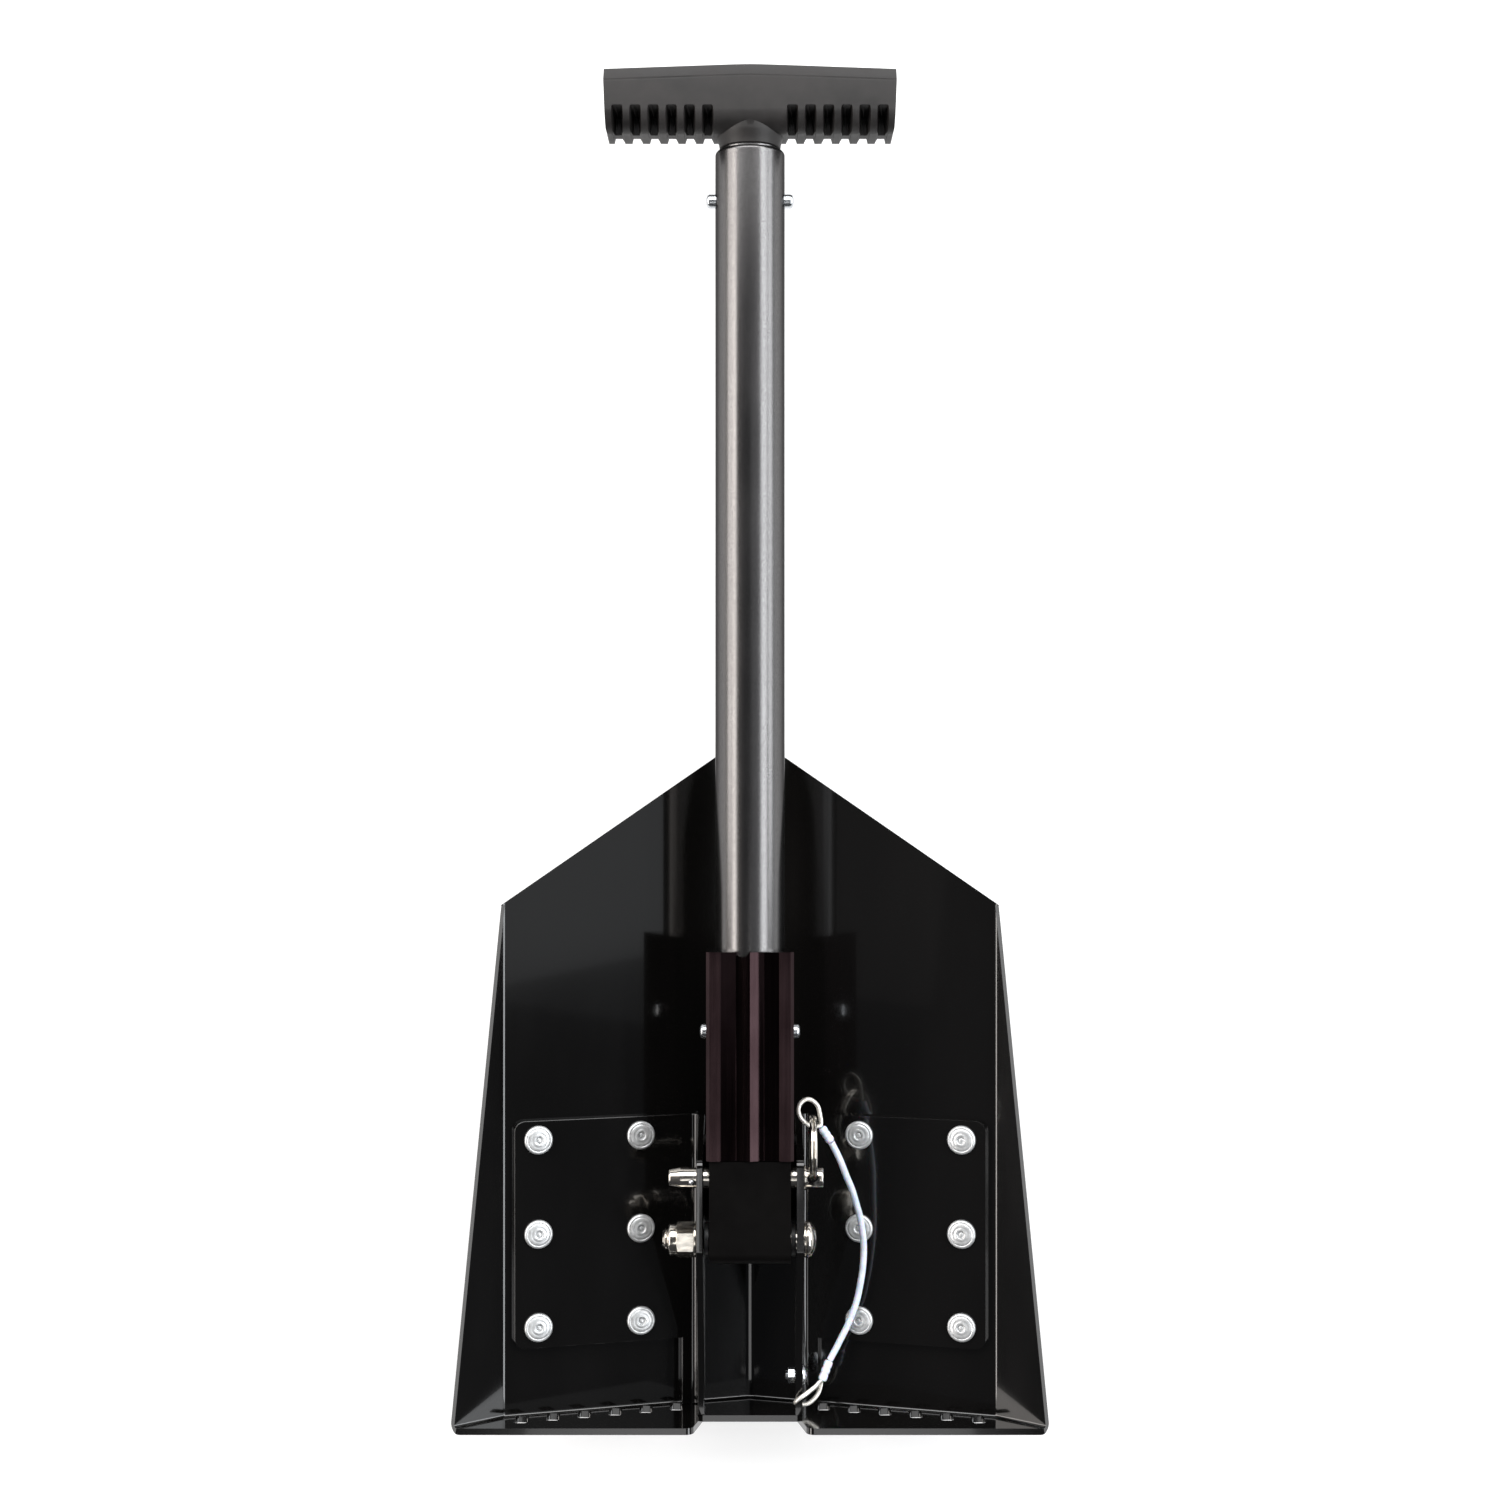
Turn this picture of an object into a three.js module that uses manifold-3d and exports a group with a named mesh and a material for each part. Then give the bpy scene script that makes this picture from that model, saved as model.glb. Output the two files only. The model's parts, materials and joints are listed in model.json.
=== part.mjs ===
// Folding avalanche shovel, lying stowed on the back of its blade.
// Millimetres. +X to the right, +Y along the shaft towards the grip, +Z up, out of the scoop.
// Every height inside the group "shovel" is measured from the shaft's axis.
import * as THREE from 'three';
import { mergeVertices } from 'three/addons/utils/BufferGeometryUtils.js';
import Module from 'manifold-3d';

const wasm = await Module();
wasm.setup();

// ---------------------------------------------------------------- driving dimensions

const RUN_GAP = 0.3; // clearance of a pin in its hole
const FACE_GAP = 0.2; // paint-thin gap between two parts that lie on each other
const FAR = 400; // longer than any piece, for cutters that run right through
const PAST = 1; // how far a cutter runs past a face that it only has to clear

const SHEET = 3; // blade sheet thickness
const VALLEY = -51; // height of the blade's inside along its centre line, before the bend is rounded
const FLOOR_SLOPE = 0.291; // rise of the floor for each millimetre sideways
const FOLD_X = 114.3; // where the floor turns up into the side wall
const WALL_TOP_X = 137.5; // outermost edge of the side wall at the rear
const RIM = 0.3; // height of the rear wall's top edge
const BEND_R = 4; // inside radius of the sheet's folds
const VALLEY_R = 8; // inside radius of the centre bend
const REAR_Y = -313; // outer face of the rear wall
const TIP_Y = 8; // point of the blade
const SHOULDER_X = 115.9; // where the cutting edge ends
const SHOULDER_Y = -72.2;
const CORNER_R = 4; // rounding of the blade's two rear corners
const NOTCH_X = 22.05; // half width of the notch that the shaft swings into, at its bottom
const NOTCH_TOP_X = 26.4; // and at the rim
const NOTCH_CORNER_R = 4;
const NOTCH_Z = -20.5;

const PLATE = 3.2; // bracket plate thickness
const EAR_X = 21.2; // inner face of a bracket's ear
const BRACKET_TOP_Y = -172.4;
const BRACKET_END_Y = -278.4;
const FLANGE_X = 109.3; // outer edge of a bracket's flange
const EAR_TOP = 11;
const RIB_TOP = -20; // top edge of the rib that runs on from the ear to the rear wall
const RIVET_X = [52.4, 99.4];
const RIVET_Y = [-181.4, -225.2, -268.6];
const RIVET_R = 3.2;
const RIVET_HEAD_R = 6.65;

const PIVOT_Y = -223.6; // axis of the fold
const PIN_Y = -195.4; // axis of the lock pin
const PIN_R = 4.75; // both are 3/8 inch
const PIN_HEAD_END = 33.6;
const PIN_NOSE = -37.2;
const RING_X = 28.8; // the pin's cross hole, and the ring through it
const RING_R = 13.9;
const RING_WIRE = 1.6;
const BALL_X = -26.5;
const BALL_R = 1.6;

const TUBE_R = 15.875; // main tube, 1 1/4 inch
const TUBE_BORE = 14.25;
const TUBE_TOP = 273;
const TUBE_END = -152;
const INNER_R = 14; // inner tube
const INNER_BORE = 12.3;
const INNER_END = -115;
const BUTTON_R = 3.25;
const TOP_BUTTON_Y = 250.7;
const TOP_BUTTON_TIP = 20;
const LOW_BUTTON_Y = -128.5;
const LOW_BUTTON_TIP = 23;
const EXTENSION = 315; // travel of the inner tube

const SLEEVE_X = 19.75; // half width of the sleeve
const SLEEVE_Z = 18.5; // half depth of the sleeve
const SLEEVE_TOP = -90.9;
const SLEEVE_END = -184.9;
const CROSS_PIN_Y = -178;
const BLOCK_X = 18.45;
const BLOCK_Z = 17;
const BLOCK_END = -232;

const GRIP_X = 66.7; // half length of the T-grip
const GRIP_TOP = 313;
const GRIP_END = 278;
const GRIP_Z = 17; // half depth of the T-grip
const NECK_END = 274.4;

const CABLE_R = 1.55; // coated lanyard cable
const WIRE_R = 1.05; // its bare eyes

const SIDES = 32; // facets round a tube
const SMALL_SIDES = 16; // facets round a screw or pin
const RIVET_SIDES = 12;

// ---------------------------------------------------------------- materials

function material(color, roughness, metalness) {
  return new THREE.MeshStandardMaterial({ color, roughness, metalness });
}

const gloss = material(0x0b0b0c, 0.15, 0);
const satin = material(0x3a3b3e, 0.4, 0.6);
const anodised = material(0x1c1620, 0.35, 0.7);
const plastic = material(0x1d1d1f, 0.6, 0);
const matte = material(0x121214, 0.7, 0);
const nickel = material(0xc8c2b8, 0.25, 1);
const aluminium = material(0xd2d6d8, 0.3, 1);
const steel = material(0xb4b6b8, 0.3, 1);
const spring = material(0x8c8f94, 0.35, 1);
const nylon = material(0xe9edf2, 0.4, 0);

// ---------------------------------------------------------------- solids

function solid(geometry) {
  const bare = geometry.index ? geometry.toNonIndexed() : geometry.clone();
  bare.deleteAttribute('normal');
  bare.deleteAttribute('uv');
  const merged = mergeVertices(bare, 1e-4);
  const corners = merged.index.array;
  const triangles = [];
  for (let i = 0; i < corners.length; i += 3) {
    const [a, b, c] = corners.slice(i, i + 3);
    if (a !== b && b !== c && c !== a) {
      triangles.push(a, b, c);
    }
  }
  return new wasm.Manifold(new wasm.Mesh({
    numProp: 3,
    vertProperties: new Float32Array(merged.attributes.position.array),
    triVerts: new Uint32Array(triangles),
  }));
}

function geometryOf(body) {
  const mesh = body.getMesh();
  const geometry = new THREE.BufferGeometry();
  geometry.setAttribute('position', new THREE.BufferAttribute(mesh.vertProperties, 3));
  geometry.setIndex(new THREE.BufferAttribute(mesh.triVerts, 1));
  return geometry;
}

function join(...parts) {
  return parts.reduce((sum, next) => sum.add(next));
}

function cut(body, ...tools) {
  return tools.reduce((rest, tool) => rest.subtract(tool), body);
}

function outline(points) {
  return new THREE.Shape(points.map(([a, b]) => new THREE.Vector2(a, b)));
}

function extruded(shape, depth, basis, origin) {
  const geometry = new THREE.ExtrudeGeometry(shape, { depth, bevelEnabled: false, curveSegments: 3 });
  geometry.applyMatrix4(basis.setPosition(...origin));
  return solid(geometry);
}

const X = new THREE.Vector3(1, 0, 0);
const Y = new THREE.Vector3(0, 1, 0);
const Z = new THREE.Vector3(0, 0, 1);

// an outline in (x, y), from z0 up to z1
function prismZ(shape, z0, z1) {
  return extruded(shape, z1 - z0, new THREE.Matrix4(), [0, 0, z0]);
}

// an outline in (y, z), from x0 to x1
function prismX(shape, x0, x1) {
  return extruded(shape, x1 - x0, new THREE.Matrix4().makeBasis(Y, Z, X), [x0, 0, 0]);
}

// an outline in (x, z), from y0 to y1
function prismY(shape, y0, y1) {
  const basis = new THREE.Matrix4().makeBasis(X, Z, Y.clone().negate());
  return extruded(shape, y1 - y0, basis, [0, y1, 0]);
}

// a solid of revolution about the Y axis from (radius, y) points, moved or turned by matrix
function turned(profile, sides = SMALL_SIDES, matrix = new THREE.Matrix4()) {
  const geometry = new THREE.LatheGeometry(profile.map(([r, y]) => new THREE.Vector2(r, y)), sides);
  geometry.applyMatrix4(matrix);
  return solid(geometry);
}

// turns the Y axis of a revolved profile to the direction `axis` and moves it to `at`
function pose(axis, at = [0, 0, 0]) {
  const quaternion = new THREE.Quaternion().setFromUnitVectors(Y, new THREE.Vector3(...axis).normalize());
  return new THREE.Matrix4().makeRotationFromQuaternion(quaternion).setPosition(...at);
}

function rod(radius, from, to, axis, at, sides = SMALL_SIDES) {
  return turned([[0, from], [radius, from], [radius, to], [0, to]], sides, pose(axis, at));
}

function pipe(outer, bore, from, to, axis, at, sides = SMALL_SIDES) {
  const wall = [[bore, from], [outer, from], [outer, to], [bore, to], [bore, from]];
  return turned(wall, sides, pose(axis, at));
}

// a rectangle with rounded corners, from (a0, b0) to (a1, b1)
function roundedBox(a0, b0, a1, b1, r) {
  const shape = new THREE.Shape();
  shape.moveTo(a0 + r, b0);
  shape.lineTo(a1 - r, b0);
  shape.absarc(a1 - r, b0 + r, r, -Math.PI / 2, 0);
  shape.absarc(a1 - r, b1 - r, r, 0, Math.PI / 2);
  shape.absarc(a0 + r, b1 - r, r, Math.PI / 2, Math.PI);
  shape.absarc(a0 + r, b0 + r, r, Math.PI, 1.5 * Math.PI);
  return shape;
}

// a path's corners rounded to the given radii, each with `steps` facets
function rounded(points, radii, steps) {
  const out = [];
  points.forEach(([x, z], i) => {
    const r = radii[i] ?? 0;
    if (!r) {
      out.push([x, z]);
      return;
    }
    const here = new THREE.Vector2(x, z);
    const back = new THREE.Vector2(...points[i - 1]).sub(here).normalize();
    const on = new THREE.Vector2(...points[i + 1]).sub(here).normalize();
    const half = Math.acos(THREE.MathUtils.clamp(back.dot(on), -1, 1)) / 2;
    const centre = back.clone().add(on).normalize().multiplyScalar(r / Math.sin(half)).add(here);
    const first = back.multiplyScalar(r / Math.tan(half)).add(here).sub(centre);
    const last = on.multiplyScalar(r / Math.tan(half)).add(here).sub(centre);
    const turn = Math.atan2(first.cross(last), first.dot(last));
    for (let step = 0; step <= steps; step += 1) {
      const point = first.clone().rotateAround(new THREE.Vector2(), (turn * step) / steps).add(centre);
      out.push([point.x, point.y]);
    }
  });
  return out;
}

// the same path moved sideways by t, to the right of its direction
function offset(points, t) {
  const normals = points.slice(1).map(([x, z], i) => {
    const d = new THREE.Vector2(x - points[i][0], z - points[i][1]).normalize();
    return new THREE.Vector2(d.y, -d.x);
  });
  return points.map(([x, z], i) => {
    const a = normals[Math.max(i - 1, 0)];
    const b = normals[Math.min(i, normals.length - 1)];
    const miter = a.clone().add(b).multiplyScalar(t / (1 + a.dot(b)));
    return [x + miter.x, z + miter.y];
  });
}

// ---------------------------------------------------------------- the scene graph

const group = new THREE.Group();
group.name = 'assembly';

function place(name, body, look, at = [0, 0, 0], turn = [0, 0, 0]) {
  const mesh = new THREE.Mesh(geometryOf(body), look);
  mesh.name = name;
  mesh.position.set(...at);
  mesh.rotation.set(...turn);
  group.add(mesh);
  return mesh;
}

const SIDE_NAMES = [['left', -1], ['right', 1]];

// ---------------------------------------------------------------- blade

const floorAngle = Math.atan(FLOOR_SLOPE);
const floorAt = (x) => VALLEY + FLOOR_SLOPE * Math.abs(x);

// the side wall rises from the fold at this angle, and its edge is cut square to the sheet
const WALL_ANGLE = THREE.MathUtils.degToRad(38.3);
const EDGE_SHOWN = SHEET * Math.sin(WALL_ANGLE); // how wide that edge is, seen from above
const alongWall = (x) => (x - EDGE_SHOWN - FOLD_X) / Math.cos(WALL_ANGLE);
const WALL_SPARE = 12; // the wall is folded this much too high before its edge is cut

// the inside of the bent sheet, seen along the shaft: side wall, floor, centre, floor, side wall
function sheetPath() {
  const wall = alongWall(WALL_TOP_X) + WALL_SPARE;
  const [topX, topZ] = [FOLD_X + wall * Math.cos(WALL_ANGLE), floorAt(FOLD_X) + wall * Math.sin(WALL_ANGLE)];
  return [
    [-topX, topZ],
    [-FOLD_X, floorAt(FOLD_X)],
    [0, VALLEY],
    [FOLD_X, floorAt(FOLD_X)],
    [topX, topZ],
  ];
}

function sheetSkins() {
  const inside = sheetPath();
  const outside = offset(inside, SHEET);
  return {
    inside: rounded(inside, [0, BEND_R, VALLEY_R, BEND_R, 0], 4),
    outside: rounded(outside, [0, BEND_R + SHEET, VALLEY_R + SHEET, BEND_R + SHEET, 0], 4),
  };
}

// what is cut off one side wall: everything beyond its slanting top edge
function wallTrim(side) {
  const rear = REAR_Y - PAST;
  const slope = (alongWall(WALL_TOP_X) - alongWall(SHOULDER_X)) / (REAR_Y - SHOULDER_Y);
  const edge = (y) => alongWall(WALL_TOP_X) + slope * (y - REAR_Y);
  const shape = outline([[edge(rear), rear], [FAR, rear], [FAR, SHOULDER_Y], [edge(SHOULDER_Y), SHOULDER_Y]]);
  const up = new THREE.Vector3(Math.cos(WALL_ANGLE), 0, Math.sin(WALL_ANGLE));
  const inward = new THREE.Vector3().crossVectors(up, Y);
  const origin = new THREE.Vector3(FOLD_X, 0, floorAt(FOLD_X)).addScaledVector(inward, -FAR);
  const right = extruded(shape, 2 * FAR, new THREE.Matrix4().makeBasis(up, Y, inward), origin.toArray());
  return side > 0 ? right : right.mirror([1, 0, 0]);
}

function bladeScoop() {
  const { inside, outside } = sheetSkins();
  const shell = prismY(outline([...outside, ...inside.slice().reverse()]), REAR_Y, TIP_Y + PAST);
  const plan = outline(rounded([
    [0, TIP_Y],
    [-SHOULDER_X, SHOULDER_Y],
    [-WALL_TOP_X, REAR_Y],
    [WALL_TOP_X, REAR_Y],
    [SHOULDER_X, SHOULDER_Y],
  ], [0, 0, CORNER_R, CORNER_R, 0], 4));
  const rearWall = prismY(outline(outside), REAR_Y, REAR_Y + SHEET);
  const aboveRim = outline(rounded([
    [-FAR, RIM],
    [-NOTCH_TOP_X, RIM],
    [-NOTCH_X, NOTCH_Z],
    [NOTCH_X, NOTCH_Z],
    [NOTCH_TOP_X, RIM],
    [FAR, RIM],
    [FAR, FAR],
    [-FAR, FAR],
  ], [0, NOTCH_CORNER_R, 0, 0, NOTCH_CORNER_R], 4));
  return cut(
    join(shell, rearWall).intersect(prismZ(plan, -FAR, FAR)),
    prismY(aboveRim, REAR_Y - PAST, REAR_Y + SHEET),
    ...SIDE_NAMES.map(([, side]) => wallTrim(side)),
    ...rearSlots(),
    ...rivetHoles(),
  );
}

// six upright slots a side, which follow the floor out towards the corners
const SLOT_FIRST_X = 34.7;
const SLOT_PITCH = 14.2;
const SLOT_COUNT = 6;
const SLOT_HALF = 3; // half width
const SLOT_CORNER = 1.5;
const SLOT_LIFT = 1; // from the floor to the slot's lower end
const SLOT_HEIGHT = 13.4;

function rearSlots() {
  const slots = [];
  for (const [, side] of SIDE_NAMES) {
    for (let i = 0; i < SLOT_COUNT; i += 1) {
      const x = side * (SLOT_FIRST_X + SLOT_PITCH * i);
      const bottom = floorAt(x) + SLOT_LIFT;
      const shape = roundedBox(x - SLOT_HALF, bottom, x + SLOT_HALF, bottom + SLOT_HEIGHT, SLOT_CORNER);
      slots.push(prismY(shape, REAR_Y - PAST, REAR_Y + SHEET + PAST));
    }
  }
  return slots;
}

// the direction square to the floor on each side, pointing up out of the scoop
const floorNormal = (side) => [-side * Math.sin(floorAngle), 0, Math.cos(floorAngle)];

function rivetHoles(sides = SIDE_NAMES) {
  return sides.flatMap(([, side]) => RIVET_X.flatMap((x) => RIVET_Y.map((y) => (
    rod(RIVET_R + RUN_GAP, -15, 15, floorNormal(side), [side * x, y, floorAt(x)], 12)
  ))));
}

place('blade_scoop', bladeScoop(), gloss);

// ---------------------------------------------------------------- brackets

const RIB_SCREW = [-293.2, -27.8]; // (y, z) of the screw in the right rib
const RIB_SCREW_R = 2.4;
const EYE_HOLE = [-304.3, -24.6]; // (y, z) of the hole for the lanyard's eye
const EYE_HOLE_R = 2.6;
const FLANGE_BEND = 5.5; // inside radius of the bend between flange and ear
const FLANGE_CORNER = 5;
const FOOT_X = 31; // outer edge of the foot under the rib

function bracket(side) {
  const lift = (FACE_GAP + PLATE) / Math.cos(floorAngle);
  const path = [
    [FLANGE_X, floorAt(FLANGE_X) + lift],
    [EAR_X + PLATE, floorAt(EAR_X + PLATE) + lift],
    [EAR_X + PLATE, EAR_TOP],
  ];
  const top = rounded(path, [0, FLANGE_BEND, 0], 4);
  const under = rounded(offset(path, -PLATE), [0, FLANGE_BEND + PLATE, 0], 4);
  const rearEnd = REAR_Y + SHEET + FACE_GAP;
  const folded = prismY(outline([...top, ...under.reverse()]), rearEnd, BRACKET_TOP_Y);
  const bendTop = path[1][1] + FLANGE_BEND / Math.tan((Math.PI / 2 - floorAngle) / 2);
  const earShape = outline(rounded([
    [BRACKET_TOP_Y, -FAR],
    [BRACKET_TOP_Y, bendTop],
    [-186.5, EAR_TOP],
    [-228.1, EAR_TOP],
    [BRACKET_END_Y, RIB_TOP],
    [rearEnd, RIB_TOP],
    [rearEnd, -FAR],
  ], [0, 0, 4, 4, 0, 0, 0], 4));
  const ear = folded.intersect(prismX(earShape, EAR_X - 1, FLANGE_X + 1));
  const flangePlan = outline(rounded([
    [EAR_X - 1, BRACKET_TOP_Y],
    [FLANGE_X, BRACKET_TOP_Y],
    [FLANGE_X, BRACKET_END_Y],
    [FOOT_X, BRACKET_END_Y],
    [FOOT_X, rearEnd],
    [EAR_X - 1, rearEnd],
  ], [0, FLANGE_CORNER, FLANGE_CORNER, 0, 0, 0], 4));
  const flange = folded.intersect(prismZ(flangePlan, -FAR, FAR));
  const upright = prismX(outline([[-FAR, bendTop], [0, bendTop], [0, FAR], [-FAR, FAR]]), 0, EAR_X + PLATE + 0.01);
  const right = join(flange.subtract(upright), ear.intersect(prismZ(outline([
    [EAR_X - 1, -FAR], [FOOT_X, -FAR], [FOOT_X, 0], [EAR_X - 1, 0],
  ]), -FAR, FAR)));
  const body = side > 0 ? right : right.mirror([1, 0, 0]);
  const holes = [
    rod(PIN_R + RUN_GAP, -FAR, FAR, [1, 0, 0], [0, PIVOT_Y, 0], SMALL_SIDES),
    rod(PIN_R + RUN_GAP, -FAR, FAR, [1, 0, 0], [0, PIN_Y, 0], SMALL_SIDES),
  ];
  if (side > 0) {
    holes.push(rod(RIB_SCREW_R + RUN_GAP, -FAR, FAR, [1, 0, 0], [0, ...RIB_SCREW], 12));
    holes.push(rod(EYE_HOLE_R, -FAR, FAR, [1, 0, 0], [0, ...EYE_HOLE], 12));
  }
  return cut(body, ...holes, ...rivetHoles([[null, side]]));
}

for (const [name, side] of SIDE_NAMES) {
  place(`bracket_${name}`, bracket(side), gloss);
}

// ---------------------------------------------------------------- rivets

// a low dome with a mandrel dimple on the flange, and an upset tail behind the blade
function rivet() {
  const under = PLATE + 2 * FACE_GAP; // underside of the head, from the floor
  const tail = -SHEET - FACE_GAP;
  return turned([
    [0, tail - 2.2],
    [RIVET_R, tail - 2.2],
    [RIVET_R * 1.45, tail],
    [RIVET_R, tail],
    [RIVET_R, under],
    [RIVET_HEAD_R, under],
    [RIVET_HEAD_R - 0.3, under + 0.9],
    [RIVET_HEAD_R * 0.62, under + 2.2],
    [1.8, under + 2.4],
    [0, under + 1.5],
  ], RIVET_SIDES);
}

const rivetShape = rivet();
for (const [name, side] of SIDE_NAMES) {
  RIVET_X.forEach((x, column) => RIVET_Y.forEach((y, row) => {
    const upright = new THREE.Quaternion().setFromUnitVectors(Y, new THREE.Vector3(...floorNormal(side)));
    const mesh = place(`rivet_${name}_${column * RIVET_Y.length + row + 1}`, rivetShape, aluminium);
    mesh.position.set(side * x, y, floorAt(x));
    mesh.quaternion.copy(upright);
  }));
}

// ---------------------------------------------------------------- pivot bolt, nut and washers

const EAR_OUT = EAR_X + PLATE;
const WASHER = 1.1;
const HEAD_IN = EAR_OUT + WASHER + 2 * FACE_GAP; // underside of the bolt's head
const BOLT_HEAD_R = 8.35;
const NUT_IN = HEAD_IN;
const NUT_FLATS = 14.3;
const NUT_END = 33.6;
const NUT_COLLAR = 37.3;
const BOLT_END = 39.8;

function pivotBolt() {
  const body = turned([
    [0, -BOLT_END],
    [PIN_R - 0.8, -BOLT_END],
    [PIN_R, -BOLT_END + 0.8],
    [PIN_R, HEAD_IN],
    [BOLT_HEAD_R, HEAD_IN],
    [BOLT_HEAD_R, HEAD_IN + 0.6],
    [BOLT_HEAD_R * 0.93, HEAD_IN + 2],
    [BOLT_HEAD_R * 0.75, HEAD_IN + 3.6],
    [BOLT_HEAD_R * 0.45, HEAD_IN + 4.6],
    [0, HEAD_IN + 4.9],
  ], 24, pose([1, 0, 0]));
  const socket = turned([[0, HEAD_IN + 1.8], [3.2, HEAD_IN + 1.8], [3.2, FAR], [0, FAR]], 6, pose([1, 0, 0]));
  return body.subtract(socket);
}

function pivotNut() {
  const corner = NUT_FLATS / Math.sqrt(3);
  const hex = turned([
    [PIN_R + RUN_GAP, NUT_IN],
    [corner, NUT_IN],
    [corner, NUT_END],
    [PIN_R + RUN_GAP, NUT_END],
    [PIN_R + RUN_GAP, NUT_IN],
  ], 6, pose([-1, 0, 0]));
  const chamfer = turned([
    [0, NUT_IN - 1],
    [20, NUT_IN - 1],
    [20, NUT_END - (20 - NUT_FLATS / 2) * Math.tan(Math.PI / 6)],
    [NUT_FLATS / 2, NUT_END],
    [0, NUT_END],
  ], 24, pose([-1, 0, 0]));
  const collar = pipe(7, PIN_R + RUN_GAP, NUT_END - 0.5, NUT_COLLAR, [-1, 0, 0], [0, 0, 0], 24);
  const bore = rod(PIN_R + RUN_GAP, 0, FAR, [-1, 0, 0], [0, 0, 0]);
  return join(hex.intersect(chamfer), collar).subtract(bore);
}

const atPivot = [0, PIVOT_Y, 0];
place('pivot_bolt', pivotBolt(), nickel, atPivot);
place('pivot_nut', pivotNut(), nickel, atPivot);
for (const [name, side] of SIDE_NAMES) {
  const from = EAR_OUT + FACE_GAP;
  const washer = pipe(8.2, PIN_R + RUN_GAP, from, from + WASHER, [side, 0, 0], [0, 0, 0], 24);
  place(`pivot_washer_${name}`, washer, nickel, atPivot);
  const spacer = pipe(7.6, PIN_R + RUN_GAP, BLOCK_X + RUN_GAP, EAR_X - RUN_GAP, [side, 0, 0], [0, 0, 0], 24);
  place(`spacer_washer_${name}`, spacer, nylon, atPivot);
}

// ---------------------------------------------------------------- screw and nut in the right rib

function ribScrew() {
  return turned([
    [0, EAR_X - 4.6],
    [RIB_SCREW_R, EAR_X - 4.6],
    [RIB_SCREW_R, EAR_OUT + FACE_GAP],
    [4.8, EAR_OUT + FACE_GAP],
    [4.5, EAR_OUT + 1.4],
    [2.6, EAR_OUT + 2.6],
    [0, EAR_OUT + 2.8],
  ], SMALL_SIDES, pose([1, 0, 0]));
}

place('rib_screw', ribScrew(), steel, [0, ...RIB_SCREW]);
const ribNut = pipe(3.9, RIB_SCREW_R + RUN_GAP, EAR_X - FACE_GAP - 3.2, EAR_X - FACE_GAP, [1, 0, 0], [0, 0, 0], 6)
  .subtract(rod(RIB_SCREW_R + RUN_GAP, 0, FAR, [1, 0, 0], [0, 0, 0]));
place('rib_nut', ribNut, steel, [0, ...RIB_SCREW]);

// ---------------------------------------------------------------- lock pin, detent and ring

const BALL_LEAN = THREE.MathUtils.degToRad(20); // the ball faces up and slightly back
const ballAxis = [0, -Math.sin(BALL_LEAN), Math.cos(BALL_LEAN)];
const BALL_OUT = PIN_R - 0.65; // radius of the ball's centre from the pin's axis
const POCKET_END = -2.5;
const CROSS_HOLE_R = 2.9;

function lockPin() {
  const body = turned([
    [0, PIN_NOSE],
    [3.4, PIN_NOSE],
    [3.85, PIN_NOSE + 0.5],
    [PIN_R, -32],
    [PIN_R, EAR_OUT + FACE_GAP],
    [PIN_R + 0.9, EAR_OUT + FACE_GAP],
    [PIN_R + 0.9, EAR_OUT + 1.1],
    [PIN_R, EAR_OUT + 1.1],
    [PIN_R, PIN_HEAD_END - 0.8],
    [PIN_R - 0.8, PIN_HEAD_END],
    [0, PIN_HEAD_END],
  ], 24, pose([1, 0, 0]));
  const pocket = rod(BALL_R + 0.1, POCKET_END, FAR, ballAxis, [BALL_X, 0, 0], 12);
  const crossHole = rod(CROSS_HOLE_R, -FAR, FAR, [0, 0, 1], [RING_X, 0, 0]);
  return cut(body, pocket, crossHole);
}

const atPin = [0, PIN_Y, 0];
place('lock_pin', lockPin(), nickel, atPin);

function ballShape() {
  const profile = [];
  for (let step = 0; step <= 6; step += 1) {
    const angle = (Math.PI * step) / 6 - Math.PI / 2;
    profile.push([BALL_R * Math.cos(angle), BALL_R * Math.sin(angle)]);
  }
  profile[0][0] = 0;
  profile[6][0] = 0;
  return turned(profile, 12, pose(ballAxis));
}

place('detent_ball', ballShape(), steel, [BALL_X, PIN_Y + BALL_OUT * ballAxis[1], BALL_OUT * ballAxis[2]]);

// a closed bar of round section swept along a curve
function bar(curve, radius, sides, steps) {
  const section = new THREE.Shape();
  for (let i = 0; i < sides; i += 1) {
    const angle = (2 * Math.PI * i) / sides;
    const point = [radius * Math.cos(angle), radius * Math.sin(angle)];
    if (i) {
      section.lineTo(...point);
    } else {
      section.moveTo(...point);
    }
  }
  section.closePath();
  return solid(new THREE.ExtrudeGeometry(section, { steps, extrudePath: curve, bevelEnabled: false }));
}

// the same bar with its two ends joined, for a closed curve
function loop(curve, radius, sides, steps) {
  const frames = curve.computeFrenetFrames(steps, true);
  const position = [];
  for (let i = 0; i < steps; i += 1) {
    const at = curve.getPointAt(i / steps);
    for (let j = 0; j < sides; j += 1) {
      const angle = (2 * Math.PI * j) / sides;
      const point = at.clone()
        .addScaledVector(frames.normals[i], radius * Math.cos(angle))
        .addScaledVector(frames.binormals[i], radius * Math.sin(angle));
      position.push(point.x, point.y, point.z);
    }
  }
  const index = [];
  for (let i = 0; i < steps; i += 1) {
    for (let j = 0; j < sides; j += 1) {
      const [a, b] = [i * sides + j, i * sides + ((j + 1) % sides)];
      const [c, d] = [a, b].map((k) => (k + sides) % (steps * sides));
      index.push(a, b, c, b, d, c);
    }
  }
  const geometry = new THREE.BufferGeometry();
  geometry.setAttribute('position', new THREE.Float32BufferAttribute(position, 3));
  geometry.setIndex(index);
  return solid(geometry);
}

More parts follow.
